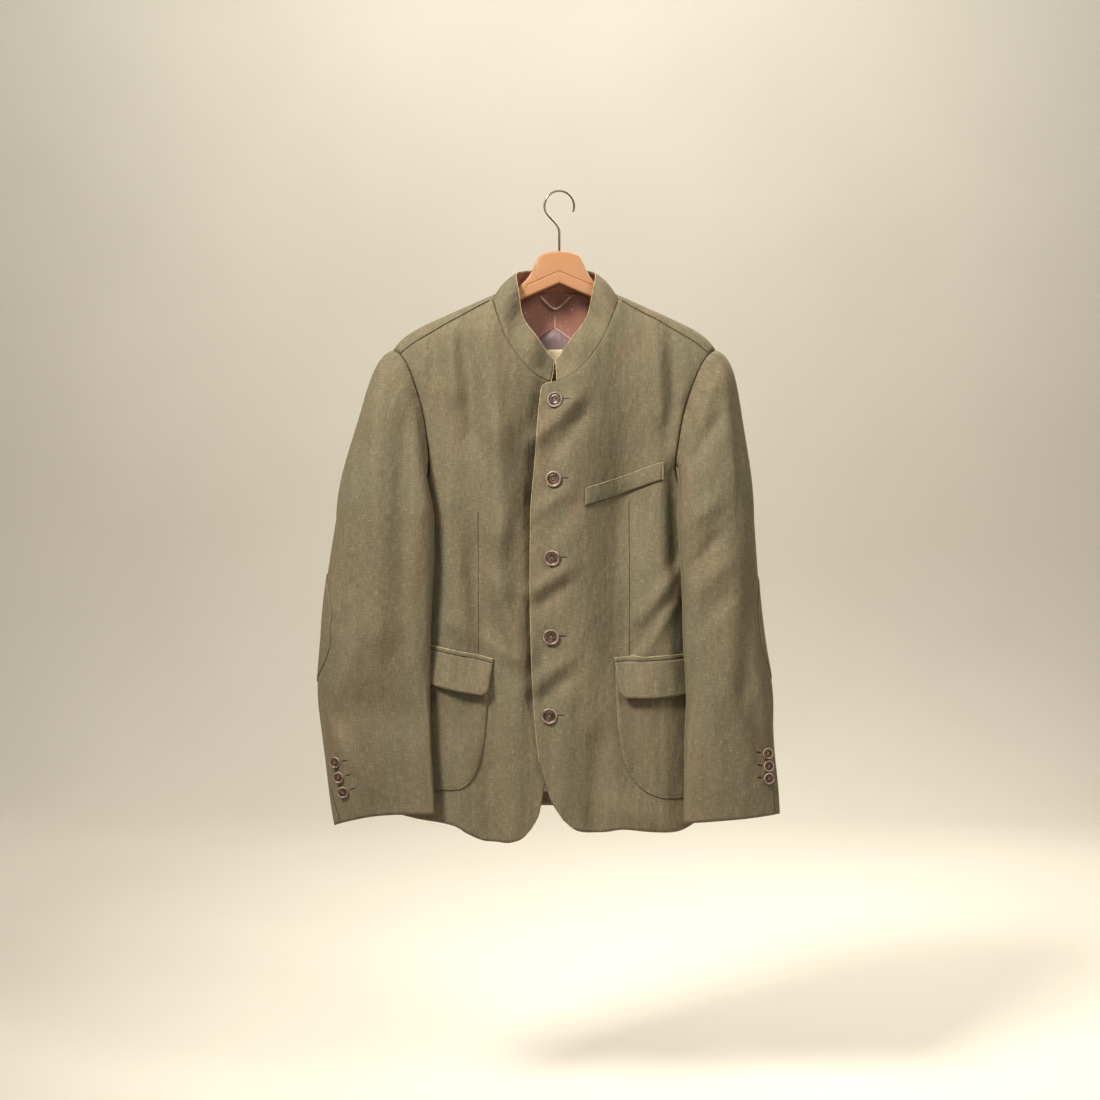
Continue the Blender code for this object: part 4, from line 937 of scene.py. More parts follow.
def cap_point(side, turn, share):
    """A point of the sleeve head, between the armhole and the first whole ring."""
    start = armhole_point(side, turn)
    end = ring_form(side, turn, SLEEVE_FIRST_RING)
    way = Vector((
        side * column(SLEEVE_HEAD, "out", turn),
        -column(SLEEVE_HEAD, "forward", turn),
        -column(SLEEVE_HEAD, "down", turn),
    )).normalized()
    start = start + ARMHOLE_GAP * way
    if UNDER_TURN - UNDERARM_LIFT_FROM < turn < 1.0:
        start.z += SEAM_GAP
    near = start + column(SLEEVE_HEAD, "length", turn) * way
    far = end + Vector((0, 0, column(SLEEVE_HEAD, "lift", turn)))
    point = easy_bend(start, near, far, end, share)
    return creased(point, turn, smooth_step(0.0, CREASE_START, share))


def flap_drop(flap, across, below):
    return flap.top + flap.slope * (across - flap.inner) + below


def inside_back(across, drop, depth):
    """A point inside the back, that far from its outer face."""
    along = chart(across, drop, BACK)
    return body_point(across, along) - depth * body_normal(across, along)


def facing_edge(across):
    return FACING_CENTRE_DROP + FACING_SLOPE * abs(across)


def bands(table):
    """The shares at which a shell's lines run, band by band."""
    shares = [table[0].first]
    for band in table:
        shares += spread(band.cells, band.first, band.last)[1:]
    return shares


def linear(text):
    """An sRGB hex colour as linear red, green and blue, with full alpha."""
    shares = [int(text[i:i + 2], 16) / 255 for i in (1, 3, 5)]
    return (*[c / 12.92 if c <= 0.04045 else ((c + 0.055) / 1.055) ** 2.4 for c in shares], 1.0)


def length(name, description, default):
    """A size in metres that the sidebar shows in the scene's units."""
    return FloatProperty(
        name=name, description=description, default=default, min=0.0, precision=5, unit="LENGTH")


def colour(name, description, default):
    return FloatVectorProperty(
        name=name, description=description, default=linear(default),
        size=4, min=0.0, max=1.0, subtype="COLOR")


class JacketSizes(bpy.types.PropertyGroup):
    """Sizes of the cloth, its weave and its sewing."""

    seam_depth: length("Seam depth", "How far the cloth sinks at a seam", 0.0008)
    seam_width: length("Seam width", "How far from a seam the cloth is level again", 0.0042)
    flap_stand: length("Flap stand", "How far a flap's lower edge stands off its pocket", 0.009)
    pocket_belly: length("Pocket belly", "How far a patch pocket swells at its middle", 0.0014)
    line_radius: length("Seam line", "Radius of the sunk line at a seam, dart or vent", 0.00045)
    stitch_length: length("Stitch length", "Length of a prick stitch that shows", 0.0022)
    stitch_spacing: length("Stitch spacing", "From one prick stitch to the next", 0.0055)
    stitch_inset: length("Stitch inset", "From a pocket's edge to its prick stitches", 0.006)
    stitch_radius: length("Stitch radius", "Half the thickness of the sewing thread", 0.00035)
    thread: length("Thread", "Width at which a linen yarn is drawn", 0.0012)
    slub: length("Slub", "Length of a thick place in a linen yarn", 0.010)
    drift_width: length("Drift width", "Width of a patch where one dye shows more", 0.055)
    drift_length: length("Drift length", "Length of a patch where one dye shows more", 0.16)
    bar_width: length("Bar width", "Width of a streak along the warp", 0.008)
    bar_length: length("Bar length", "Length of a streak along the warp", 0.085)
    rumple_width: length("Rumple width", "Width of the cloth's small rumples", 0.020)
    rumple_length: length("Rumple length", "Length of the cloth's small rumples", 0.055)
    grain: length("Grain", "Width of a streak in the hanger's wood", 0.0028)
    grain_length: length("Grain length", "Length of a streak in the hanger's wood", 0.07)


class JacketColours(bpy.types.PropertyGroup):
    """Colours of the cloth, the trims and the hanger."""

    linen_brown: colour("Linen brown", "The brown yarn", "#7d7462")
    linen_olive: colour("Linen olive", "The olive yarn", "#777462")
    # On pressed edges and folds this gold is a painted highlight; in the slubs it is the yarn's own tone
    linen_gold: colour("Linen gold", "The palest slubs and pressed edges", "#c2b591")
    sheen: colour("Linen sheen", "The tint of the cloth's sheen", "#e2d3a4")
    # A painted shade for the sunk lines at seams, darts and vents
    seam_painted_shade: colour("Seam line", "The shaded line at a seam", "#3f3728")
    stitch: colour("Stitches", "Prick stitches of linen thread", "#8b7f60")
    # The same dark colour paints the shade inside the buttons' holes
    buttonhole: colour("Buttonhole thread", "Dark thread of the worked buttonholes", "#2a211c")
    horn: colour("Horn", "The buttons' polished dished middle", "#3c2d28")
    horn_streak: colour("Horn streak", "Paler streaks of the horn", "#6d5850")
    # The rim's paler colour is a painted highlight
    horn_rim_highlight: colour("Horn rim", "The buttons' polished rim", "#a09087")
    facing: colour("Facing", "Brown satin at the back of the neck", "#b98a7c")
    facing_speck: colour("Facing speck", "Pale specks of the facing", "#ecd8cc")
    lining: colour("Lining", "Mauve satin of the back lining", "#a08d91")
    trim: colour("Trim", "The hang loop, the piping and the facing's centre seam", "#f3d8cc")
    label: colour("Label", "A bare tape sewn to the lining", "#fff2d0")
    beech: colour("Beech", "The hanger's wood", "#b78d6d")
    beech_grain: colour("Beech grain", "Darker streaks of the hanger's wood", "#b98a62")
    steel: colour("Hook", "The hook's plated wire", "#8f8b80")
    stage: colour("Stage", "The floor and the sweep behind it", "#f1eee6")


def add_node(tree, kind, inputs=None, output=0, **settings):
    """Adds a node with its settings and gives an output; an input is a value or a socket to link from."""
    node = tree.nodes.new(kind)
    for name, value in settings.items():
        setattr(node, name, value)
    for name, value in (inputs or {}).items():
        if isinstance(value, bpy.types.NodeSocket):
            tree.links.new(value, node.inputs[name])
        else:
            node.inputs[name].default_value = value
    return node.outputs[output]


def new_finish(name, **values):
    """A material with its shader's constant values; an underscore stands for a space."""
    material = bpy.data.materials.new(name)
    material.use_nodes = True
    shader = material.node_tree.nodes["Principled BSDF"]
    for key, value in values.items():
        shader.inputs[key.replace("_", " ")].default_value = value
    return material, material.node_tree, shader


def drawn_out(mark):
    """The scale that draws a noise out to a mark's width and length."""
    return (1 / mark.across, 1 / mark.along, 1 / mark.across)


@cache
def linen():
    """Plain-woven linen of brown and olive yarns: matt, slubbed both ways, streaked along the warp."""
    colours = bpy.context.scene.jacket_colours
    sizes = bpy.context.scene.jacket_sizes
    material, tree, shader = new_finish(
        "cross_dyed_linen", Roughness=0.82, Sheen_Weight=0.15, Sheen_Roughness=0.45,
        Sheen_Tint=colours.sheen, Specular_IOR_Level=0.2)
    place = add_node(tree, "ShaderNodeUVMap", uv_map="weave")
    # Real yarns are about 0.6 mm wide; they are drawn coarser so that the weave shows
    marks = (
        Mark(sizes.thread, sizes.slub, 2.0),
        Mark(sizes.slub, sizes.thread, 2.0),
        Mark(sizes.drift_width, sizes.drift_length, 3.0),
        Mark(sizes.bar_width, sizes.bar_length, 3.0),
        Mark(sizes.rumple_width, sizes.rumple_length, 3.0),
    )
    noises = []
    for mark in marks:
        mapped = add_node(tree, "ShaderNodeMapping", {"Vector": place, "Scale": drawn_out(mark)})
        noises.append(add_node(tree, "ShaderNodeTexNoise", {
            "Vector": mapped, "Scale": 1.0, "Detail": mark.detail}))
    warp, weft, drift, bars, rumple = noises
    woven = add_node(tree, "ShaderNodeMath", {0: warp, 1: weft}, operation="ADD")
    olive_share = add_node(tree, "ShaderNodeMapRange", {
        "Value": drift, "From Min": 0.35, "From Max": 0.65})
    gold_share = add_node(tree, "ShaderNodeMapRange", {
        "Value": woven, "From Min": 1.05, "From Max": 1.45, "To Max": 0.18})
    bar_shade = add_node(tree, "ShaderNodeMapRange", {
        "Value": bars, "From Min": 0.25, "From Max": 0.75, "To Min": 0.92, "To Max": 1.07})
    yarn_shade = add_node(tree, "ShaderNodeMapRange", {
        "Value": woven, "From Min": 0.70, "From Max": 1.25, "To Min": 0.82, "To Max": 1.12})
    dyed = add_node(tree, "ShaderNodeMix", {
        0: olive_share, 6: colours.linen_brown, 7: colours.linen_olive}, output=2, data_type="RGBA")
    tone = add_node(tree, "ShaderNodeMix", {
        0: gold_share, 6: dyed, 7: colours.linen_gold}, output=2, data_type="RGBA")
    for shade in (bar_shade, yarn_shade):
        tone = add_node(tree, "ShaderNodeVectorMath", {"Vector": tone, "Scale": shade}, operation="SCALE")
    tree.links.new(tone, shader.inputs["Base Color"])
    uneven = add_node(tree, "ShaderNodeBump", {"Height": rumple, "Distance": 0.006, "Strength": 0.6})
    threads = add_node(tree, "ShaderNodeBump", {
        "Height": woven, "Distance": 0.0005, "Strength": 0.5, "Normal": uneven})
    tree.links.new(threads, shader.inputs["Normal"])
    return material


@cache
def painted_edge_highlight():
    """Pale linen for folded edges: its gold is a painted highlight, as if the flat-lying yarns caught the
    light.
    """
    colours = bpy.context.scene.jacket_colours
    sizes = bpy.context.scene.jacket_sizes
    material, tree, shader = new_finish(
        "linen_edge_painted_highlight", Roughness=0.6, Sheen_Weight=0.2, Sheen_Tint=colours.sheen)
    place = add_node(tree, "ShaderNodeTexCoord", output="Object")
    highlight_variation = add_node(tree, "ShaderNodeTexNoise", {"Vector": place, "Scale": 2 / sizes.slub, "Detail": 2.0})
    # Between 40% gold and all gold: a painted highlight, varied by the noise
    gold_share = add_node(tree, "ShaderNodeMapRange", {
        "Value": highlight_variation, "From Min": 0.35, "From Max": 0.65, "To Min": 0.4})
    tone = add_node(tree, "ShaderNodeMix", {
        0: gold_share, 6: colours.linen_olive, 7: colours.linen_gold}, output=2, data_type="RGBA")
    tree.links.new(tone, shader.inputs["Base Color"])
    return material


@cache
def horn(name, base, streak):
    """Polished horn: glossy and streaked; dark for the middle, while the rim's pale colour is a painted
    highlight.
    """
    material, tree, shader = new_finish(
        name, Roughness=0.36, IOR=1.54, Coat_Weight=0.15, Coat_Roughness=0.2)
    place = add_node(tree, "ShaderNodeTexCoord", output="Object")
    mapped = add_node(tree, "ShaderNodeMapping", {"Vector": place, "Scale": drawn_out(HORN_STREAK)})
    clouds = add_node(tree, "ShaderNodeTexNoise", {
        "Vector": mapped, "Scale": 1.0, "Detail": HORN_STREAK.detail})
    streak_share = add_node(tree, "ShaderNodeMapRange", {
        "Value": clouds, "From Min": 0.40, "From Max": 0.68})
    tone = add_node(tree, "ShaderNodeMix", {
        0: streak_share, 6: base, 7: streak}, output=2, data_type="RGBA")
    tree.links.new(tone, shader.inputs["Base Color"])
    return material


@cache
def sewing_thread(name, base):
    """Waxed linen thread: matt, with a twist that breaks up its colour; in dark colours the same finish also
    paints the shade in seams and in the buttons' holes.
    """
    material, tree, shader = new_finish(name, Roughness=0.7)
    place = add_node(tree, "ShaderNodeTexCoord", output="Object")
    twist = add_node(tree, "ShaderNodeTexNoise", {"Vector": place, "Scale": 1 / THREAD_TWIST, "Detail": 1.0})
    shade = add_node(tree, "ShaderNodeMapRange", {
        "Value": twist, "From Min": 0.3, "From Max": 0.7, "To Min": 0.75, "To Max": 1.2})
    tone = add_node(tree, "ShaderNodeVectorMath", {"Vector": base[:3], "Scale": shade}, operation="SCALE")
    tree.links.new(tone, shader.inputs["Base Color"])
    return material


@cache
def satin(name, base, speck, speck_share):
    """Satin lining: smooth, with a soft lustre, fine ribs and a few pale specks."""
    material, tree, shader = new_finish(
        name, Roughness=0.42, Sheen_Weight=0.3, Sheen_Roughness=0.3, Sheen_Tint=speck)
    place = add_node(tree, "ShaderNodeUVMap", uv_map="weave")
    noises = []
    for mark in (SATIN_RIB, SATIN_SPECK):
        mapped = add_node(tree, "ShaderNodeMapping", {"Vector": place, "Scale": drawn_out(mark)})
        noises.append(add_node(tree, "ShaderNodeTexNoise", {
            "Vector": mapped, "Scale": 1.0, "Detail": mark.detail}))
    ribs, spots = noises
    shade = add_node(tree, "ShaderNodeMapRange", {
        "Value": ribs, "From Min": 0.3, "From Max": 0.7, "To Min": 0.92, "To Max": 1.07})
    spotted = add_node(tree, "ShaderNodeMapRange", {
        "Value": spots, "From Min": 0.66, "From Max": 0.74, "To Max": speck_share})
    shaded = add_node(tree, "ShaderNodeVectorMath", {"Vector": base[:3], "Scale": shade}, operation="SCALE")
    tone = add_node(tree, "ShaderNodeMix", {0: spotted, 6: shaded, 7: speck}, output=2, data_type="RGBA")
    tree.links.new(tone, shader.inputs["Base Color"])
    raised = add_node(tree, "ShaderNodeBump", {"Height": ribs, "Distance": 0.0003, "Strength": 0.3})
    tree.links.new(raised, shader.inputs["Normal"])
    return material


def facing_satin():
    colours = bpy.context.scene.jacket_colours
    return satin("brown_satin", tuple(colours.facing), tuple(colours.facing_speck), FACING_SPECK_SHARE)


@cache
def beech():
    """Lacquered beech: pale orange wood with fine darker streaks along the arm."""
    colours = bpy.context.scene.jacket_colours
    sizes = bpy.context.scene.jacket_sizes
    material, tree, shader = new_finish(
        "lacquered_beech", Roughness=0.42, Coat_Weight=0.25, Coat_Roughness=0.25)
    place = add_node(tree, "ShaderNodeUVMap", uv_map="weave")
    noises = []
    for mark in (Mark(sizes.grain_length, sizes.grain, 3.0), WOOD_CLOUD):
        mapped = add_node(tree, "ShaderNodeMapping", {"Vector": place, "Scale": drawn_out(mark)})
        noises.append(add_node(tree, "ShaderNodeTexNoise", {
            "Vector": mapped, "Scale": 1.0, "Detail": mark.detail}))
    grain, cloudy = noises
    both = add_node(tree, "ShaderNodeMath", {0: grain, 1: cloudy}, operation="ADD")
    grain_share = add_node(tree, "ShaderNodeMapRange", {
        "Value": both, "From Min": 0.80, "From Max": 1.22})
    tone = add_node(tree, "ShaderNodeMix", {
        0: grain_share, 6: colours.beech, 7: colours.beech_grain}, output=2, data_type="RGBA")
    tree.links.new(tone, shader.inputs["Base Color"])
    raised = add_node(tree, "ShaderNodeBump", {"Height": grain, "Distance": 0.0003, "Strength": 0.2})
    tree.links.new(raised, shader.inputs["Normal"])
    return material


@cache
def plated_steel():
    """Nickel-plated steel wire: bright, with drawing marks that vary its gloss."""
    colours = bpy.context.scene.jacket_colours
    material, tree, shader = new_finish("nickel_plated_wire", Metallic=1.0, Base_Color=colours.steel)
    place = add_node(tree, "ShaderNodeTexCoord", output="Object")
    mapped = add_node(tree, "ShaderNodeMapping", {"Vector": place, "Scale": drawn_out(WIRE_MARK)})
    marks = add_node(tree, "ShaderNodeTexNoise", {
        "Vector": mapped, "Scale": 1.0, "Detail": WIRE_MARK.detail})
    gloss = add_node(tree, "ShaderNodeMapRange", {
        "Value": marks, "From Min": 0.3, "From Max": 0.7, "To Min": 0.2, "To Max": 0.42})
    tree.links.new(gloss, shader.inputs["Roughness"])
    return material


@cache
def paper():
    """Seamless studio paper: matt and pale, very slightly uneven."""
    colours = bpy.context.scene.jacket_colours
    material, tree, shader = new_finish("studio_paper", Roughness=0.95, Specular_IOR_Level=0.1)
    place = add_node(tree, "ShaderNodeTexCoord", output="Object")
    clouds = add_node(tree, "ShaderNodeTexNoise", {"Vector": place, "Scale": 1 / PAPER_CLOUD, "Detail": 2.0})
    shade = add_node(tree, "ShaderNodeMapRange", {
        "Value": clouds, "From Min": 0.3, "From Max": 0.7, "To Min": 0.98, "To Max": 1.02})
    tone = add_node(tree, "ShaderNodeVectorMath", {
        "Vector": colours.stage[:3], "Scale": shade}, operation="SCALE")
    tree.links.new(tone, shader.inputs["Base Color"])
    return material


def add_piece(name, mesh, finishes, nodes=()):
    """Shows a mesh as a piece that rides on the body and stands for the nodes it names."""
    for finish in finishes:
        mesh.materials.append(finish)
    mesh.shade_smooth()
    piece = bpy.data.objects.new(name, mesh)
    bpy.context.scene.collection.objects.link(piece)
    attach(piece, BODY)
    if nodes:
        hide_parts(*nodes)
    return piece


def filled_mesh(name, maker):
    """Turns a bmesh in millimetres into a mesh in metres."""
    bmesh.ops.scale(maker, vec=Vector((METRES, METRES, METRES)), verts=maker.verts)
    mesh = bpy.data.meshes.new(name)
    maker.to_mesh(mesh)
    maker.free()
    return mesh


def grid_maker(columns, rows, place, flip):
    """A grid laid on a form: place gives each crossing's point and its two lengths along the cloth."""
    maker = bmesh.new()
    bmesh.ops.create_grid(maker, x_segments=len(columns) - 1, y_segments=len(rows) - 1, size=0.5)
    weave = maker.loops.layers.uv.new("weave")
    crossings = {}
    lengths = {}
    for vert in maker.verts:
        j = round((vert.co.x + 0.5) * (len(columns) - 1))
        i = round((vert.co.y + 0.5) * (len(rows) - 1))
        crossings[i, j] = vert
        vert.co, across, along = place(columns[j], rows[i])
        lengths[vert] = (across * METRES, along * METRES)
    for face in maker.faces:
        for corner in face.loops:
            corner[weave].uv = lengths[corner.vert]
    if flip:
        bmesh.ops.reverse_faces(maker, faces=maker.faces)
    maker.normal_update()
    return maker, crossings


def lines_from_seam(crossings, columns, rows, seam):
    """The lines of vertices that run inward from a seam."""
    if seam.edge in ("start", "end"):
        lines = [[crossings[i, j] for j in range(len(columns))]
                 for i, share in enumerate(rows) if seam.first <= share <= seam.last]
    else:
        lines = [[crossings[i, j] for i in range(len(rows))]
                 for j, share in enumerate(columns) if seam.first <= share <= seam.last]
    return [line[::-1] if seam.edge in ("end", "high") else line for line in lines]


def sink_seams(crossings, columns, rows, seams):
    """Sinks the cloth softly along its seams."""
    sizes = bpy.context.scene.jacket_sizes
    depth = sizes.seam_depth / METRES
    width = sizes.seam_width / METRES
    sunk = {}
    for seam in seams:
        for line in lines_from_seam(crossings, columns, rows, seam):
            run = 0.0
            for here, there in zip(line, line[1:]):
                sunk[here] = max(sunk.get(here, 0.0), depth * math.exp(-((run / width) ** 2)))
                run += (there.co - here.co).length
                if run > SEAM_REACH * width:
                    break
    for vert, move in sunk.items():
        vert.co -= move * vert.normal


def add_shell(node, columns, rows, place, wall, flip=False, seams=(), finishes=None, inside=None):
    """A cloth piece: a grid laid on the solid's form, sunk at its seams and given its thickness."""
    maker, crossings = grid_maker(columns, rows, place, flip)
    sink_seams(crossings, columns, rows, seams)
    piece = add_piece(f"cloth_{node}", filled_mesh(f"cloth_{node}", maker), finishes or [linen()],
                      [node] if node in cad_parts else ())
    thicken = piece.modifiers.new("cloth_wall", "SOLIDIFY")
    thicken.thickness = wall * METRES
    thicken.offset = -1.0
    thicken.material_offset_rim = len(piece.data.materials) - 1
    if inside:
        piece.data.materials.append(inside)
        thicken.material_offset = len(piece.data.materials) - 1
    cut = CUTS[node]
    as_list(cut.rests_on)
    return piece


def add_tubes(name, paths, radius, finish, nodes=()):
    """Round cords along paths, joined in one mesh."""
    line = bpy.data.curves.new(name, "CURVE")
    line.dimensions = "3D"
    line.bevel_depth = radius * METRES
    line.bevel_resolution = TUBE_ROUNDNESS
    line.use_fill_caps = True
    for path in paths:
        spline = line.splines.new("POLY")
        spline.points.add(len(path) - 1)
        for knot, point in zip(spline.points, path):
            knot.co = (*(point * METRES), 1.0)
    holder = bpy.data.objects.new(name, line)
    bpy.context.scene.collection.objects.link(holder)
    depsgraph = bpy.context.evaluated_depsgraph_get()
    mesh = bpy.data.meshes.new_from_object(holder.evaluated_get(depsgraph))
    bpy.data.objects.remove(holder)
    bpy.data.curves.remove(line)
    mesh.materials.clear()
    return add_piece(name, mesh, [finish], nodes)


def front_place(side):
    """Where a front panel's shares fall: up from the hem, and out from its edge to its side."""
    edge = Path(charted(FRONT_EDGE[side], FRONT))
    lap_top = Path(charted(LAP_TOP, FRONT))
    hem = Path(charted(HEM[side], FRONT))
    neck = neck_path()
    armhole = armhole_path()

    @cache
    def inner_edge(v):
        if v <= FRONT_LAP:
            return edge.at(v / FRONT_LAP)
        if v <= FRONT_NECK:
            return lap_top.at((v - FRONT_LAP) / (FRONT_NECK - FRONT_LAP))
        return neck.between(NECK_END, NECK_AT_SEAM, (v - FRONT_NECK) / (1 - FRONT_NECK))

    @cache
    def outer_edge(v):
        if v <= FRONT_UNDERARM:
            return side_seam(v / FRONT_UNDERARM, FRONT, HEM[side][-1].drop)
        share = (v - FRONT_UNDERARM) / (1 - FRONT_UNDERARM)
        return armhole.between(UNDERARM_FRONT, SHOULDER_SEAM, share)

    hem_at = cache(hem.at)
    top_at = cache(shoulder_seam)

    def place(s, v):
        across, along = coons(inner_edge, outer_edge, hem_at, top_at, s, v)
        return body_point(side * across, along, side), side * across, along

    return place


def add_front(side, word):
    seams = (Seam("end", FRONT_UNDERARM, 1.0), Seam("high", 0.0, 1.0), Seam("start", NECK_SEAM_START, 1.0))
    add_shell(f"front_{word}", spread(FRONT_CELLS), bands(FRONT_BANDS), front_place(side), BODY_WALL,
              flip=side == RIGHT, seams=seams)


def add_back():
    """The back, brought over both shoulders to the seam on the front side."""
    armhole = armhole_path()
    neck = neck_path()

    @cache
    def edge(v):
        if v <= BACK_UNDERARM:
            return side_seam(v / BACK_UNDERARM, BACK, BACK_HEM_SIDE)
        share = (v - BACK_UNDERARM) / (1 - BACK_UNDERARM)
        return armhole.between(UNDERARM_BACK, SHOULDER_SEAM, share)

    def mirrored_edge(v):
        across, along = edge(v)
        return -across, along

    @cache
    def hem(s):
        half_width = column(LEVELS, "half_width", BACK_HEM_SIDE)
        across = half_width * (2 * s - 1)
        droop = 1 - (2 * s - 1) ** 2
        return across, chart(across, blend(BACK_HEM_SIDE, BACK_HEM_CENTRE, droop), BACK)

    @cache
    def top(s):
        from_side = min(s, 1 - s)
        turn = -1 if s < 0.5 else 1
        if from_side <= BACK_SEAM:
            across, along = shoulder_seam(1 - from_side / BACK_SEAM)
        else:
            across, along = neck.between(0, NECK_AT_SEAM, (0.5 - from_side) / (0.5 - BACK_SEAM))
        return turn * across, along

    def place(s, v):
        across, along = coons(mirrored_edge, edge, hem, top, s, v)
        return body_point(across, along), across, along

    seams = (Seam("start", BACK_UNDERARM, 1.0), Seam("end", BACK_UNDERARM, 1.0), Seam("high", 0.0, 1.0))
    add_shell("back", bands(BACK_COLUMN_BANDS), bands(BACK_BANDS), place, BODY_WALL,
              flip=True, seams=seams)


def sleeve_place(side, first_turn, last_turn):
    """Where a sleeve piece's shares fall: round it, and down from the armhole to the cuff."""
    ring = [ring_point(side, turn, ELBOW_DROP) for turn in spread(GIRTH_STEPS)]
    girth = sum((there - here).length for here, there in zip(ring, ring[1:]))
    cuff = SLEEVE_RINGS[side][-1].drop

    def place(s, v):
        turn = blend(first_turn, last_turn, s)
        if v < 0:
            point = cap_point(side, turn, 1 + v)
        else:
            point = ring_point(side, turn, blend(SLEEVE_FIRST_RING, cuff, v))
        return point, turn * girth, point.z

    return place


def add_sleeve(side, word):
    """A two-piece sleeve, its pieces a hair apart at the front and hind seams."""
    rows = bands((Band(-1.0, 0.0, SLEEVE_CAP_CELLS), Band(0.0, 1.0, SLEEVE_CELLS)))
    columns = spread(SLEEVE_ROUND_CELLS)
    seams = (Seam("low", 0.0, 1.0), Seam("start", -1.0, 1.0), Seam("end", -1.0, 1.0))
    for piece, first in (("top", 0.0), ("under", 0.5)):
        place = sleeve_place(side, first + SLEEVE_SEAM_TURN, first + 0.5 - SLEEVE_SEAM_TURN)
        add_shell(f"sleeve_{word}_{piece}", columns, rows, place, SLEEVE_WALL,
                  flip=side == LEFT, seams=seams)


def add_elbow_patch(side, word):
    """An oval patch laid round the hind fold of the sleeve."""
    middle = (ELBOW_FIRST_TURN + ELBOW_LAST_TURN) / 2
    reach = (ELBOW_LAST_TURN - ELBOW_FIRST_TURN) / 2

    def place(s, v):
        off = 2 * s - 1
        height = ELBOW_HALF_HEIGHT * math.sqrt(1 - ELBOW_ROUNDNESS * off * off)
        turn = middle + reach * off
        drop = ELBOW_DROP + (2 * v - 1) * height
        point = ring_point(side, turn, drop) + (PATCH_GAP + PATCH_WALL) * ring_normal(side, turn, drop)
        return point, point.x, point.z

    add_shell(f"elbow_patch_{word}", spread(PATCH_CELLS), spread(PATCH_CELLS), place, PATCH_WALL,
              flip=side == LEFT)


def collar_dent(turn, height):
    total = 0.0
    for dent in COLLAR_DENTS:
        off = (turn - dent.turn) / dent.reach
        rise = (height - dent.height) / DENT_HEIGHT_REACH
        total += dent.depth * math.exp(-off * off - rise * rise)
    return total


def collar_line(turn):
    """The collar's foot and free edge at a turn from -1, its right end, to 1, its left end."""
    neck = neck_path()
    side = RIGHT if turn < 0 else LEFT
    share = abs(turn)
    shares = [neck.key(i) for i in range(len(NECK))]
    across, along = neck.at(share)
    foot = body_point(side * across, along, side if along < 0 else 0)
    top_across, top_drop, top_depth = (
        curve(shares, [getattr(row, name) for row in NECK], share)
        for name in ("top_across", "top_drop", "top_depth"))
    top = Vector((side * top_across + centre_line(top_drop), top_depth, -top_drop))
    return foot + COLLAR_GAP * (top - foot).normalized(), top


def add_collar():
    """The stand collar, from its right end round the back to its left end."""
    line = cache(collar_line)
    neck_length = neck_path().keys[-1]

    def place(turn, height):
        foot, top = line(turn)
        low = line(max(turn - COLLAR_STEP, -1.0))
        high = line(min(turn + COLLAR_STEP, 1.0))
        around = high[1] - low[1] + high[0] - low[0]
        out = (top - foot).cross(around).normalized()
        swell = COLLAR_BULGE * math.sin(math.pi * height)
        swell += collar_dent(turn, height) * smooth_step(0.0, DENT_START, height)
        point = foot.lerp(top, height) + swell * out
        closing = COLLAR_END_CLOSE * smooth_step(COLLAR_END_FROM, 1.0, abs(turn))
        point.x -= math.copysign(closing, turn) * math.sin(math.pi * height)
        return point, turn * neck_length, height * (top - foot).length

    add_shell("collar", bands(COLLAR_BANDS), spread(COLLAR_CELLS), place, COLLAR_WALL, flip=True,
              seams=(Seam("low", -1.0, 1.0),), inside=facing_satin())
    # A pale cord along the free edge and both ends paints the highlight of the collar's edge
    edge = [place(turn, 1.0)[0] for turn in spread(COLLAR_EDGE_STEPS, -1.0, 1.0)]
    ends = [[place(turn, height)[0] for height in spread(COLLAR_CELLS)] for turn in (-1.0, 1.0)]
    add_tubes("collar_edge_painted_highlight", [edge, *ends], COLLAR_EDGE_RADIUS, painted_edge_highlight())


def add_pocket(side, word):
    """A patch pocket with rounded lower corners and a slight belly."""
    table = POCKET[side]
    belly = bpy.context.scene.jacket_sizes.pocket_belly / METRES

    def place(s, v):
        fall = 1 - (1 - v) ** POCKET_ROW_POWER
        drop = blend(table[0].drop, table[-1].drop, fall)
        across = blend(column(table, "inner", drop), column(table, "outer", drop), s)
        swell = belly * math.sqrt(math.sin(math.pi * s) * math.sin(math.pi * fall))
        return on_front(side, across, drop, LIFT_GAP + POCKET_WALL + swell), side * across, -drop

    # The pocket's rim takes the pale edge finish, a painted highlight along its edge
    add_shell(f"pocket_{word}", spread(POCKET_CELLS), spread(POCKET_CELLS), place, POCKET_WALL,
              flip=side == LEFT, finishes=[linen(), painted_edge_highlight()])


def flap_place(side):
    """Where a flap's shares fall: along it, and down from its welt to its free edge."""
    flap = FLAP[side]
    base = 2 * LIFT_GAP + POCKET_WALL + FLAP_WALL
    start = FLAP_WELT_HEIGHT + SEAM_GAP
    stand = bpy.context.scene.jacket_sizes.flap_stand / METRES

    def place(s, v):
        below = blend(start, flap.height, v)
        ease = flap.corner * smooth_step(flap.height - 2 * flap.corner, flap.height, below) ** 2
        across = blend(flap.inner + flap.lean * below + ease, flap.outer - ease, s)
        curl = stand * v ** FLAP_CURL * (1 + FLAP_WAVE * math.sin(FLAP_WAVES * math.tau * s))
        return on_front(side, across, flap_drop(flap, across, below), base + curl), side * across, -below

    return place


def flap_welt_place(side):
    """Where the shares of a flap's raised strip fall: along it, and over its crown."""
    flap = FLAP[side]

    def place(s, v):
        across = blend(flap.inner, flap.outer, s)
        crown = FLAP_WELT_WALL * blend(FLAP_WELT_EDGE, 1, math.sin(math.pi * v))
        point = on_front(side, across, flap_drop(flap, across, FLAP_WELT_HEIGHT * v), LIFT_GAP + crown)
        return point, side * across, -FLAP_WELT_HEIGHT * v

    return place


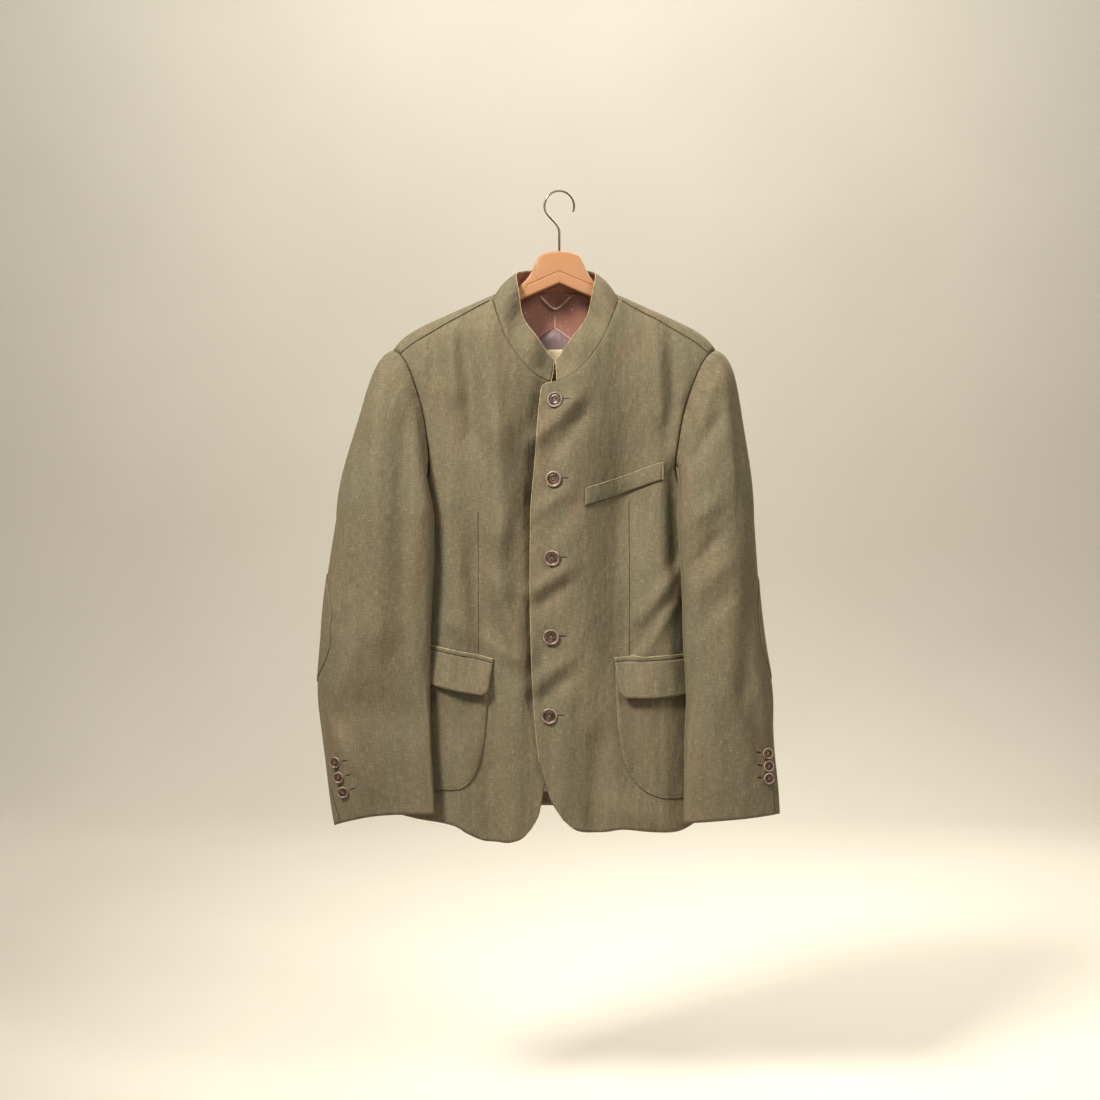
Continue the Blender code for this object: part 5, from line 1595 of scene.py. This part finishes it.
def add_flap(side, word):
    """A pocket flap, its lower edge a little off the pocket, and the strip that it hangs from."""
    add_shell(f"flap_{word}", spread(FLAP_CELLS), spread(FLAP_DROP_CELLS), flap_place(side), FLAP_WALL,
              flip=side == LEFT)
    add_shell(f"flap_welt_{word}", spread(FLAP_CELLS), spread(WELT_ROUND_CELLS), flap_welt_place(side),
              FLAP_WELT_WALL / 2, flip=side == LEFT)


def chest_welt_place(s, v):
    """A place on the chest pocket's welt, which slants up toward the sleeve."""
    welt = CHEST_WELT
    across = blend(welt.inner, welt.outer, s)
    drop = blend(welt.top_inner, welt.top_outer, s) + welt.height * v
    crown = WELT_WALL * blend(WELT_EDGE, 1, math.sin(math.pi * v))
    return on_front(LEFT, across, drop, LIFT_GAP + crown), across, -drop


def add_chest_welt():
    add_shell("chest_welt", spread(WELT_CELLS), spread(WELT_ROUND_CELLS), chest_welt_place, WELT_WALL / 2,
              flip=True)


def add_painted_fold_highlights():
    """Pale cords along the lap and the welts: pressed folds with a painted highlight."""
    lap = front_place(LEFT)
    paths = [
        [lap(0.0, v)[0] for v in spread(FOLD_STEPS, LAP_FOLD_FROM, FRONT_NECK)],
        [chest_welt_place(s, 0.0)[0] for s in spread(FOLD_STEPS)],
        [chest_welt_place(1.0, v)[0] for v in spread(WELT_CELLS)],
    ]
    for side in (LEFT, RIGHT):
        strip = flap_welt_place(side)
        paths.append([strip(s, STRIP_FOLD_AT)[0] for s in spread(FOLD_STEPS)])
    add_tubes("painted_fold_highlights", paths, PRESSED_FOLD_RADIUS, painted_edge_highlight())


def seat_matrix(seat, axis):
    """Turns a thing made upright at the origin to stand on a seat along its axis."""
    return Matrix.Translation(seat) @ axis.to_track_quat("Z", "Y").to_matrix().to_4x4()


def front_button_seats():
    seats = []
    for drop in FRONT_BUTTON_DROPS:
        along = chart(FRONT_BUTTON_ACROSS, drop, FRONT)
        axis = body_normal(FRONT_BUTTON_ACROSS, along, LEFT)
        seats.append((on_front(LEFT, FRONT_BUTTON_ACROSS, drop, LIFT_GAP), axis))
    return seats


def sleeve_turn(side, x, drop):
    """The turn at which the sleeve's shown side passes a place seen from the front."""
    turns = spread(TURN_TRIES, *SHOWN_TURNS)
    return min(turns, key=lambda turn: abs(ring_point(side, turn, drop).x - x))


def on_sleeve(side, x, drop, height):
    """A point above the sleeve's shown side, and the way out of the sleeve there."""
    turn = sleeve_turn(side, x, drop)
    out = ring_normal(side, turn, drop)
    return ring_point(side, turn, drop) + height * out, out


def cuff_button_seats(side):
    """The cuff buttons' seats; each leans on its thread from the sleeve's slope toward the viewer."""
    toward_viewer = Vector((0.0, -1.0, 0.0))
    seats = []
    for place in CUFF_BUTTONS[side]:
        seat, out = on_sleeve(side, place.across, place.drop, CUFF_BUTTON_GAP)
        seats.append((seat, out.lerp(toward_viewer, CUFF_BUTTON_LEAN).normalized()))
    return seats


def add_button(node, radius, seat, axis):
    """A turned horn button whose rim is painted paler as a highlight."""
    colours = bpy.context.scene.jacket_colours
    maker = bmesh.new()
    chain = [maker.verts.new((radius * row.radius, 0.0, radius * row.height)) for row in BUTTON_TURNING]
    edges = [maker.edges.new(pair) for pair in zip(chain, chain[1:])]
    bmesh.ops.spin(maker, geom=chain + edges, cent=(0, 0, 0), axis=(0, 0, 1), angle=math.tau,
                   steps=BUTTON_STEPS, use_merge=True)
    bmesh.ops.remove_doubles(maker, verts=maker.verts, dist=MERGE_DISTANCE)
    bmesh.ops.recalc_face_normals(maker, faces=maker.faces)
    for face in maker.faces:
        face.material_index = int(face.calc_center_median().xy.length > radius * BUTTON_RIM_FROM)
    bmesh.ops.transform(maker, matrix=seat_matrix(seat, axis), verts=maker.verts)
    middle = horn("polished_horn", tuple(colours.horn), tuple(colours.horn_streak))
    # The rim's material paints its highlight in a paler colour
    rim = horn("horn_rim_painted_highlight", tuple(colours.horn_rim_highlight), tuple(colours.horn_streak))
    add_piece(f"horn_{node}", filled_mesh(f"horn_{node}", maker), [middle, rim], [node])


def add_button_sewing(name, radius, seats):
    """The four holes of each button, dark discs that paint the shade inside them, and the crossed thread
    through them.
    """
    colours = bpy.context.scene.jacket_colours
    maker = bmesh.new()
    threads = []
    for seat, axis in seats:
        frame_of_button = seat_matrix(seat, axis)
        corners = [Vector((x, y, 0.0)) * HOLE_PLACE * radius for x, y in HOLE_CORNERS]
        for corner in corners:
            spot = Matrix.Translation(corner + Vector((0, 0, HOLE_HEIGHT * radius)))
            bmesh.ops.create_circle(maker, cap_ends=True, segments=HOLE_SIDES, radius=HOLE_RADIUS * radius,
                                    matrix=frame_of_button @ spot)
        lift = Vector((0, 0, THREAD_HEIGHT * radius))
        for pair in CROSSED_HOLES:
            threads.append([frame_of_button @ (corners[k] + lift) for k in pair])
    # The holes' dark discs are painted shade, in the buttonhole thread's colour
    hole_shade = sewing_thread("buttonhole_thread", tuple(colours.buttonhole))
    add_piece(f"{name}_holes", filled_mesh(f"{name}_holes", maker), [hole_shade])
    thread = sewing_thread("linen_thread", tuple(colours.stitch))
    add_tubes(f"{name}_thread", threads, THREAD_RADIUS, thread)


def add_buttonholes():
    """Worked buttonholes beside the front and cuff buttons, each a low lens of dark thread."""
    maker = bmesh.new()

    def lens(start, end, out):
        way = (end - start).normalized()
        turn = Matrix((way, out.cross(way), out)).transposed().to_4x4()
        half_size = ((end - start).length / 2, BUTTONHOLE_WIDTH / 2, BUTTONHOLE_HEIGHT / 2, 1.0)
        form = Matrix.Translation((start + end) / 2) @ turn @ Matrix.Diagonal(half_size)
        bmesh.ops.create_icosphere(maker, subdivisions=BUTTONHOLE_FINENESS, radius=1.0, matrix=form)

    across = FRONT_BUTTON_ACROSS + BUTTONHOLE_START
    for button_drop in FRONT_BUTTON_DROPS:
        drop = button_drop - BUTTONHOLE_RISE
        out = body_normal(across, chart(across, drop, FRONT), LEFT)
        end = on_front(LEFT, across + BUTTONHOLE_LENGTH, drop, 0.0)
        lens(on_front(LEFT, across, drop, 0.0), end, out)
    for side, seats in CUFF_BUTTONS.items():
        for place in seats:
            start_x = place.across - side * CUFF_BUTTON_RADIUS
            end_x = start_x - side * CUFF_BUTTONHOLE_LENGTH
            rise = CUFF_BUTTONHOLE_RISE * CUFF_BUTTONHOLE_LENGTH
            start, out = on_sleeve(side, start_x, place.drop - CUFF_BUTTONHOLE_LIFT, 0.0)
            end, _ = on_sleeve(side, end_x, place.drop - CUFF_BUTTONHOLE_LIFT - rise, 0.0)
            lens(start, end, out)
    colours = bpy.context.scene.jacket_colours
    thread = sewing_thread("buttonhole_thread", tuple(colours.buttonhole))
    add_piece("buttonholes", filled_mesh("buttonholes", maker), [thread])


def add_seam_lines():
    """Dark sunk cords that paint the shade in the shoulder seams, the darts in the fronts and the cuffs'
    vents.
    """
    sizes = bpy.context.scene.jacket_sizes
    colours = bpy.context.scene.jacket_colours
    seam = [shoulder_seam(t) for t in spread(DART_STEPS, SEAM_LINE_START, 1.0)]
    paths = [[body_point(side * across, along, side) for across, along in seam] for side in (LEFT, RIGHT)]
    for dart in DARTS:
        paths.append([
            on_front(dart.side, blend(dart.across_top, dart.across_end, t),
                     blend(dart.drop_top, dart.drop_end, t), 0.0)
            for t in spread(DART_STEPS)])
    for vent in VENTS:
        paths.append([
            on_sleeve(vent.side, blend(vent.x_top, vent.x_end, t),
                      blend(vent.drop_top, vent.drop_end, t), 0.0)[0]
            for t in spread(VENT_STEPS)])
    finish = sewing_thread("seam_painted_shade", tuple(colours.seam_painted_shade))
    add_tubes("seam_lines", paths, sizes.line_radius / METRES, finish)


def pocket_outline(side, inset):
    """A pocket's sewn outline, that far inside its edge, from inner top round to outer top."""
    table = POCKET[side]
    first = FLAP[side].top + FLAP[side].height
    last = table[-1].drop - inset
    inner = []
    outer = []
    for drop in spread(STITCH_ROWS, first, last):
        slack = smooth_step(last - STITCH_CORNER, last, drop)
        low = column(table, "inner", drop) + inset * (1 + slack)
        high = column(table, "outer", drop) - inset * (1 + slack)
        inner.append((low, drop))
        outer.append((high, drop))
    return inner + outer[::-1]


def add_stitches():
    """Prick stitches round the patch pockets."""
    sizes = bpy.context.scene.jacket_sizes
    colours = bpy.context.scene.jacket_colours
    length_shown = sizes.stitch_length / METRES
    spacing = sizes.stitch_spacing / METRES
    paths = []
    for side in (LEFT, RIGHT):
        outline = Path(pocket_outline(side, sizes.stitch_inset / METRES))
        total = outline.keys[-1]
        for k in range(int(total / spacing)):
            ends = (k * spacing / total, (k * spacing + length_shown) / total)
            height = LIFT_GAP + POCKET_WALL + STITCH_LIFT
            paths.append([on_front(side, *outline.at(share), height) for share in ends])
    thread = sewing_thread("linen_thread", tuple(colours.stitch))
    add_tubes("pocket_stitches", paths, sizes.stitch_radius / METRES, thread)


def inside_place(half_width, start, end, depth):
    """Where the shares of a piece inside the back fall; start and end give its edges' drops."""

    def place(s, v):
        across = half_width * (2 * s - 1)
        drop = blend(start(across), end(across), v)
        return inside_back(across, drop, depth), across, -drop

    return place


def add_neck_lining():
    """The satin facing, the lining below it and a bare label."""
    colours = bpy.context.scene.jacket_colours
    far = BODY_WALL + LINING_GAP + LINING_WALL
    facing_place = inside_place(
        FACING_HALF_WIDTH,
        lambda across: column(NECK[:NECK_AT_SEAM], "drop", abs(across)) + FACING_START,
        lambda across: facing_edge(across) - SEAM_GAP,
        far)
    lining_place = inside_place(
        LINING_HALF_WIDTH, lambda across: facing_edge(across) + SEAM_GAP, lambda across: LINING_END, far)
    label_place = inside_place(
        LABEL_HALF_WIDTH, lambda across: LABEL_TOP, lambda across: LABEL_END, far + LABEL_LIFT + LABEL_WALL)
    lining = satin("mauve_satin", tuple(colours.lining), tuple(colours.trim), 0.0)
    tape = satin("cotton_tape", tuple(colours.label), tuple(colours.label), 0.0)
    cells = spread(LINING_CELLS)
    tape_cells = spread(LABEL_CELLS)
    add_shell("neck_facing", cells, cells, facing_place, LINING_WALL,
              finishes=[facing_satin()])
    add_shell("back_lining", cells, cells, lining_place, LINING_WALL,
              finishes=[lining])
    add_shell("label", tape_cells, tape_cells, label_place, LABEL_WALL,
              finishes=[tape])


def add_neck_piping():
    """The raised line of the facing's centre seam, and the piping along one side of its lower edge."""
    colours = bpy.context.scene.jacket_colours
    depth = BODY_WALL + LINING_GAP + LINING_WALL + PIPING_RADIUS
    seam = [inside_back(0.0, drop, depth)
            for drop in spread(TRIM_STEPS, CENTRE_SEAM_TOP, FACING_CENTRE_DROP)]
    piping = [inside_back(across, facing_edge(across), depth)
              for across in spread(TRIM_STEPS, 0.0, FACING_HALF_WIDTH)]
    trim = sewing_thread("satin_piping", tuple(colours.trim))
    add_tubes("neck_piping", [seam, piping], PIPING_RADIUS, trim)


def add_hang_loop():
    """A narrow piped loop, sewn to the facing at both ends."""
    colours = bpy.context.scene.jacket_colours
    depth = BODY_WALL + LINING_GAP + LINING_WALL + LOOP_STAND_OFF + LOOP_RADIUS
    points = []
    reach = math.hypot(1.0, LOOP_ROUNDING) - LOOP_ROUNDING
    for s in spread(LOOP_POINTS, -1.0, 1.0):
        sag = 1 - (math.hypot(s, LOOP_ROUNDING) - LOOP_ROUNDING) / reach
        drop = blend(LOOP_TOP, LOOP_BOTTOM, sag)
        points.append(inside_back(LOOP_HALF_WIDTH * s, drop, depth + LOOP_SAG_FORWARD * sag))
    trim = sewing_thread("satin_loop", tuple(colours.trim))
    piece = add_tubes("satin_hang_loop", [points], LOOP_RADIUS, trim, ["hang_loop"])


def hanger_bars(side):
    """The hanger half's outline from the middle joint to the arm's end."""
    bars = list(HANGER_HEAD)
    for reach in HANGER_ARM_ACROSS:
        across = side * reach - centre_line(ridge_drop(reach))
        rise = ridge_drop(abs(across) + NORMAL_STEP) - ridge_drop(abs(across) - NORMAL_STEP)
        slope = rise / (2 * NORMAL_STEP)
        under = ridge_drop(across) + BODY_WALL * math.hypot(1, slope) + HANGER_GAP
        bars.append(Bar(reach, under, under + HANGER_ARM_HEIGHT, HANGER_ARM_HALF_DEPTH))
    return bars


def bar_outline(bar):
    """A bar's rounded section as depths and drops, once round from its lower front corner."""
    depth = bar.half_depth - HANGER_EDGE
    high = bar.top + HANGER_EDGE
    low = bar.bottom - HANGER_EDGE
    middles = ((-depth, low, 90), (-depth, high, 180), (depth, high, 270), (depth, low, 0))
    groove = bar.bottom - HANGER_GROOVE_RISE
    fade = smooth_step(0.0, HANGER_GROOVE_FADE, groove - high - HANGER_GROOVE_HALF)
    outline = []
    for k, (y, drop, first) in enumerate(middles):
        for angle in spread(HANGER_CORNER_STEPS, first, first + 90):
            turn = math.radians(angle)
            outline.append((y + HANGER_EDGE * math.cos(turn), drop + HANGER_EDGE * math.sin(turn)))
        if k == 0:
            for off in (HANGER_GROOVE_HALF, 0.0, -HANGER_GROOVE_HALF):
                sunk = HANGER_GROOVE_DEPTH * fade * (off == 0.0)
                outline.append((-bar.half_depth + sunk, blend(low, groove + off, fade)))
    return outline


def add_hanger(side, word):
    """Half of the hanger: a rounded bar with a groove in its broad head."""
    bars = hanger_bars(side)
    around = len(bar_outline(bars[0]))

    def place(s, v):
        reach = blend(bars[0].across, bars[-1].across, v)
        bar = Bar(reach, *(column(bars, name, reach) for name in ("top", "bottom", "half_depth")))
        y, drop = bar_outline(bar)[round(s * around) % around]
        x = side * reach
        depth = -shoulder_forward(x - centre_line(bar.top), bar.top)
        return Vector((x, depth + y, -drop)), reach, drop - bar.bottom

    maker, _ = grid_maker(spread(around), spread(HANGER_CELLS), place, flip=side == RIGHT)
    bmesh.ops.remove_doubles(maker, verts=maker.verts, dist=MERGE_DISTANCE)
    bmesh.ops.holes_fill(maker, edges=[edge for edge in maker.edges if edge.is_boundary])
    bmesh.ops.recalc_face_normals(maker, faces=maker.faces)
    name = f"beech_hanger_{word}"
    piece = add_piece(name, filled_mesh(name, maker), [beech()], [f"hanger_{word}"])
    piece.data.set_sharp_from_angle(angle=math.radians(HANGER_SHARP_ANGLE))


def add_joint():
    """The thin glued line between the hanger's halves."""
    bar = HANGER_HEAD[0]
    depth = JOINT_SET - bar.half_depth - shoulder_forward(0.0, bar.top)
    drops = spread(TRIM_STEPS, bar.top + HANGER_EDGE, bar.bottom - HANGER_EDGE)
    line = [Vector((0, depth, -drop)) for drop in drops]
    add_tubes("beech_joint", [line], JOINT_RADIUS, beech())


def add_hook():
    """The wire hook: a stem, an easy bend and a crook round the rail."""
    radius = HOOK_INNER_RADIUS + HOOK_WIRE
    points = []
    for angle in spread(HOOK_CROOK_STEPS, HOOK_TIP_ANGLE, HOOK_LEAVE_ANGLE):
        turn = math.radians(angle)
        points.append(Vector((radius * math.cos(turn), 0, radius * math.sin(turn) - HOOK_INNER_RADIUS)))
    leave = points[-1]
    way = (points[-1] - points[-2]).normalized()
    stem_top = Vector((0, 0, -HOOK_STEM_TOP))
    near = leave + HOOK_LEAVE_REACH * way
    far = stem_top + Vector((0, 0, HOOK_STEM_REACH))
    for t in spread(HOOK_BEND_STEPS)[1:]:
        points.append(easy_bend(leave, near, far, stem_top, t))
    points.append(Vector((0, 0, -HANGER_HEAD[0].top - HOOK_SET)))
    add_tubes("wire_hanger_hook", [points], HOOK_WIRE, plated_steel(), ["hanger_hook"])


def add_floor():
    """A pale floor that sweeps up into a backdrop well behind the jacket."""
    maker = bmesh.new()
    bmesh.ops.create_grid(maker, x_segments=1, y_segments=1, size=FLOOR_HALF)
    bmesh.ops.translate(maker, vec=(0, SWEEP_BACK - FLOOR_HALF, -FLOOR_DROP), verts=maker.verts)
    hind = max(maker.edges, key=lambda edge: sum(vert.co.y for vert in edge.verts))
    raised = bmesh.ops.extrude_edge_only(maker, edges=[hind])["geom"]
    bmesh.ops.translate(maker, vec=(0, 0, SWEEP_HEIGHT),
                        verts=[item for item in raised if isinstance(item, bmesh.types.BMVert)])
    bmesh.ops.bevel(maker, geom=[hind], offset=SWEEP_RADIUS, segments=SWEEP_STEPS, affect="EDGES",
                    profile=0.5, material=-1)
    bmesh.ops.recalc_face_normals(maker, faces=maker.faces)
    mesh = bpy.data.meshes.new("studio_floor")
    maker.to_mesh(mesh)
    maker.free()
    mesh.materials.append(paper())
    mesh.shade_smooth()
    floor = bpy.data.objects.new("studio_floor", mesh)
    bpy.context.scene.collection.objects.link(floor)


def add_lights():
    for panel in PANELS:
        light = bpy.data.lights.new(panel.name, "AREA")
        light.shape = "RECTANGLE"
        light.size = panel.width
        light.size_y = panel.height
        light.energy = panel.power
        light.spread = math.radians(panel.spread)
        light.color = linear(panel.colour)[:3]
        lamp = bpy.data.objects.new(panel.name, light)
        lamp.location = panel.place
        way = Vector(panel.aim) - Vector(panel.place)
        lamp.rotation_euler = way.to_track_quat("-Z", "Y").to_euler()
        bpy.context.scene.collection.objects.link(lamp)
    world = bpy.data.worlds.new("soft_sky")
    world.use_nodes = True
    sky = world.node_tree.nodes["Background"]
    sky.inputs["Color"].default_value = linear(SKY)
    sky.inputs["Strength"].default_value = SKY_STRENGTH
    bpy.context.scene.world = world


def add_camera():
    lens = bpy.data.cameras.new("camera")
    lens.lens = CAMERA_LENS
    lens.sensor_width = SENSOR_WIDTH
    camera = bpy.data.objects.new("camera", lens)
    camera.location = CAMERA_PLACE
    camera.rotation_euler = (math.pi / 2, 0.0, 0.0)
    bpy.context.scene.collection.objects.link(camera)
    bpy.context.scene.camera = camera


class JACKET_OT_stage(bpy.types.Operator):
    """Set the pale floor, the soft light and the camera"""

    bl_idname = "jacket.add_stage"
    bl_label = "Stage"

    def execute(self, context):
        context.scene.view_settings.view_transform = "Standard"
        context.scene.view_settings.look = "Medium High Contrast"
        add_camera()
        add_lights()
        add_floor()
        return {"FINISHED"}


class JACKET_OT_hanger(bpy.types.Operator):
    """Add the hanger's two beech halves, the joint between them and the wire hook"""

    bl_idname = "jacket.add_hanger"
    bl_label = "Hanger"

    def execute(self, context):
        for side, word in SIDES:
            add_hanger(side, word)
        add_joint()
        add_hook()
        return {"FINISHED"}


class JACKET_OT_lining(bpy.types.Operator):
    """Add the neck facing, the back lining, the bare label, the piping and the hang loop"""

    bl_idname = "jacket.add_lining"
    bl_label = "Neck lining"

    def execute(self, context):
        add_neck_lining()
        add_neck_piping()
        add_hang_loop()
        return {"FINISHED"}


class JACKET_OT_body(bpy.types.Operator):
    """Add the back and both fronts"""

    bl_idname = "jacket.add_body"
    bl_label = "Fronts and back"

    def execute(self, context):
        add_back()
        for side, word in SIDES:
            add_front(side, word)
        return {"FINISHED"}


class JACKET_OT_collar(bpy.types.Operator):
    """Add the stand collar"""

    bl_idname = "jacket.add_collar"
    bl_label = "Collar"

    def execute(self, context):
        add_collar()
        return {"FINISHED"}


class JACKET_OT_sleeves(bpy.types.Operator):
    """Add both two-piece sleeves and their elbow patches"""

    bl_idname = "jacket.add_sleeves"
    bl_label = "Sleeves"

    def execute(self, context):
        for side, word in SIDES:
            add_sleeve(side, word)
            add_elbow_patch(side, word)
        return {"FINISHED"}


class JACKET_OT_pockets(bpy.types.Operator):
    """Add the chest welt, the patch pockets, their flaps and the flaps' welts"""

    bl_idname = "jacket.add_pockets"
    bl_label = "Pockets"

    def execute(self, context):
        add_chest_welt()
        for side, word in SIDES:
            add_pocket(side, word)
            add_flap(side, word)
        return {"FINISHED"}


class JACKET_OT_buttons(bpy.types.Operator):
    """Add the front and cuff buttons with their holes painted as dark shade, thread and buttonholes"""

    bl_idname = "jacket.add_buttons"
    bl_label = "Buttons"

    def execute(self, context):
        groups = [("front_button", FRONT_BUTTON_RADIUS, front_button_seats())]
        for side, word in SIDES:
            groups.append((f"cuff_button_{word}", CUFF_BUTTON_RADIUS, cuff_button_seats(side)))
        for name, radius, seats in groups:
            for i, (seat, axis) in enumerate(seats):
                add_button(f"{name}_{i + 1}", radius, seat, axis)
            add_button_sewing(name, radius, seats)
        add_buttonholes()
        return {"FINISHED"}


class JACKET_OT_sewing(bpy.types.Operator):
    """Add the dark lines of painted shade at seams, darts and vents, the prick stitches and the pale pressed
    folds with their painted highlight
    """

    bl_idname = "jacket.add_sewing"
    bl_label = "Sewing"

    def execute(self, context):
        add_seam_lines()
        add_stitches()
        add_painted_fold_highlights()
        return {"FINISHED"}


class JACKET_PT_sidebar(bpy.types.Panel):
    """Lists the jacket's pieces, sizes and colours"""

    bl_idname = "JACKET_PT_sidebar"
    bl_label = "Linen Jacket"
    bl_space_type = "VIEW_3D"
    bl_region_type = "UI"
    bl_category = "Jacket"

    def draw(self, context):
        for operator in OPERATORS:
            self.layout.operator(operator.bl_idname)
        for group in (context.scene.jacket_sizes, context.scene.jacket_colours):
            box = self.layout.box()
            for name in group.__annotations__:
                box.prop(group, name)


OPERATORS = (
    JACKET_OT_stage, JACKET_OT_hanger, JACKET_OT_lining, JACKET_OT_body, JACKET_OT_collar,
    JACKET_OT_sleeves, JACKET_OT_pockets, JACKET_OT_buttons, JACKET_OT_sewing,
)
CLASSES = (JacketSizes, JacketColours, *OPERATORS, JACKET_PT_sidebar)


def register():
    for item in CLASSES:
        bpy.utils.register_class(item)
    bpy.types.Scene.jacket_sizes = PointerProperty(type=JacketSizes)
    bpy.types.Scene.jacket_colours = PointerProperty(type=JacketColours)


def unregister():
    del bpy.types.Scene.jacket_colours
    del bpy.types.Scene.jacket_sizes
    for item in reversed(CLASSES):
        bpy.utils.unregister_class(item)


def main():
    register()
    bpy.ops.jacket.add_stage()
    bpy.ops.jacket.add_hanger()
    bpy.ops.jacket.add_lining()
    bpy.ops.jacket.add_body()
    bpy.ops.jacket.add_collar()
    bpy.ops.jacket.add_sleeves()
    bpy.ops.jacket.add_pockets()
    bpy.ops.jacket.add_buttons()
    bpy.ops.jacket.add_sewing()


if __name__ == "__main__":
    main()
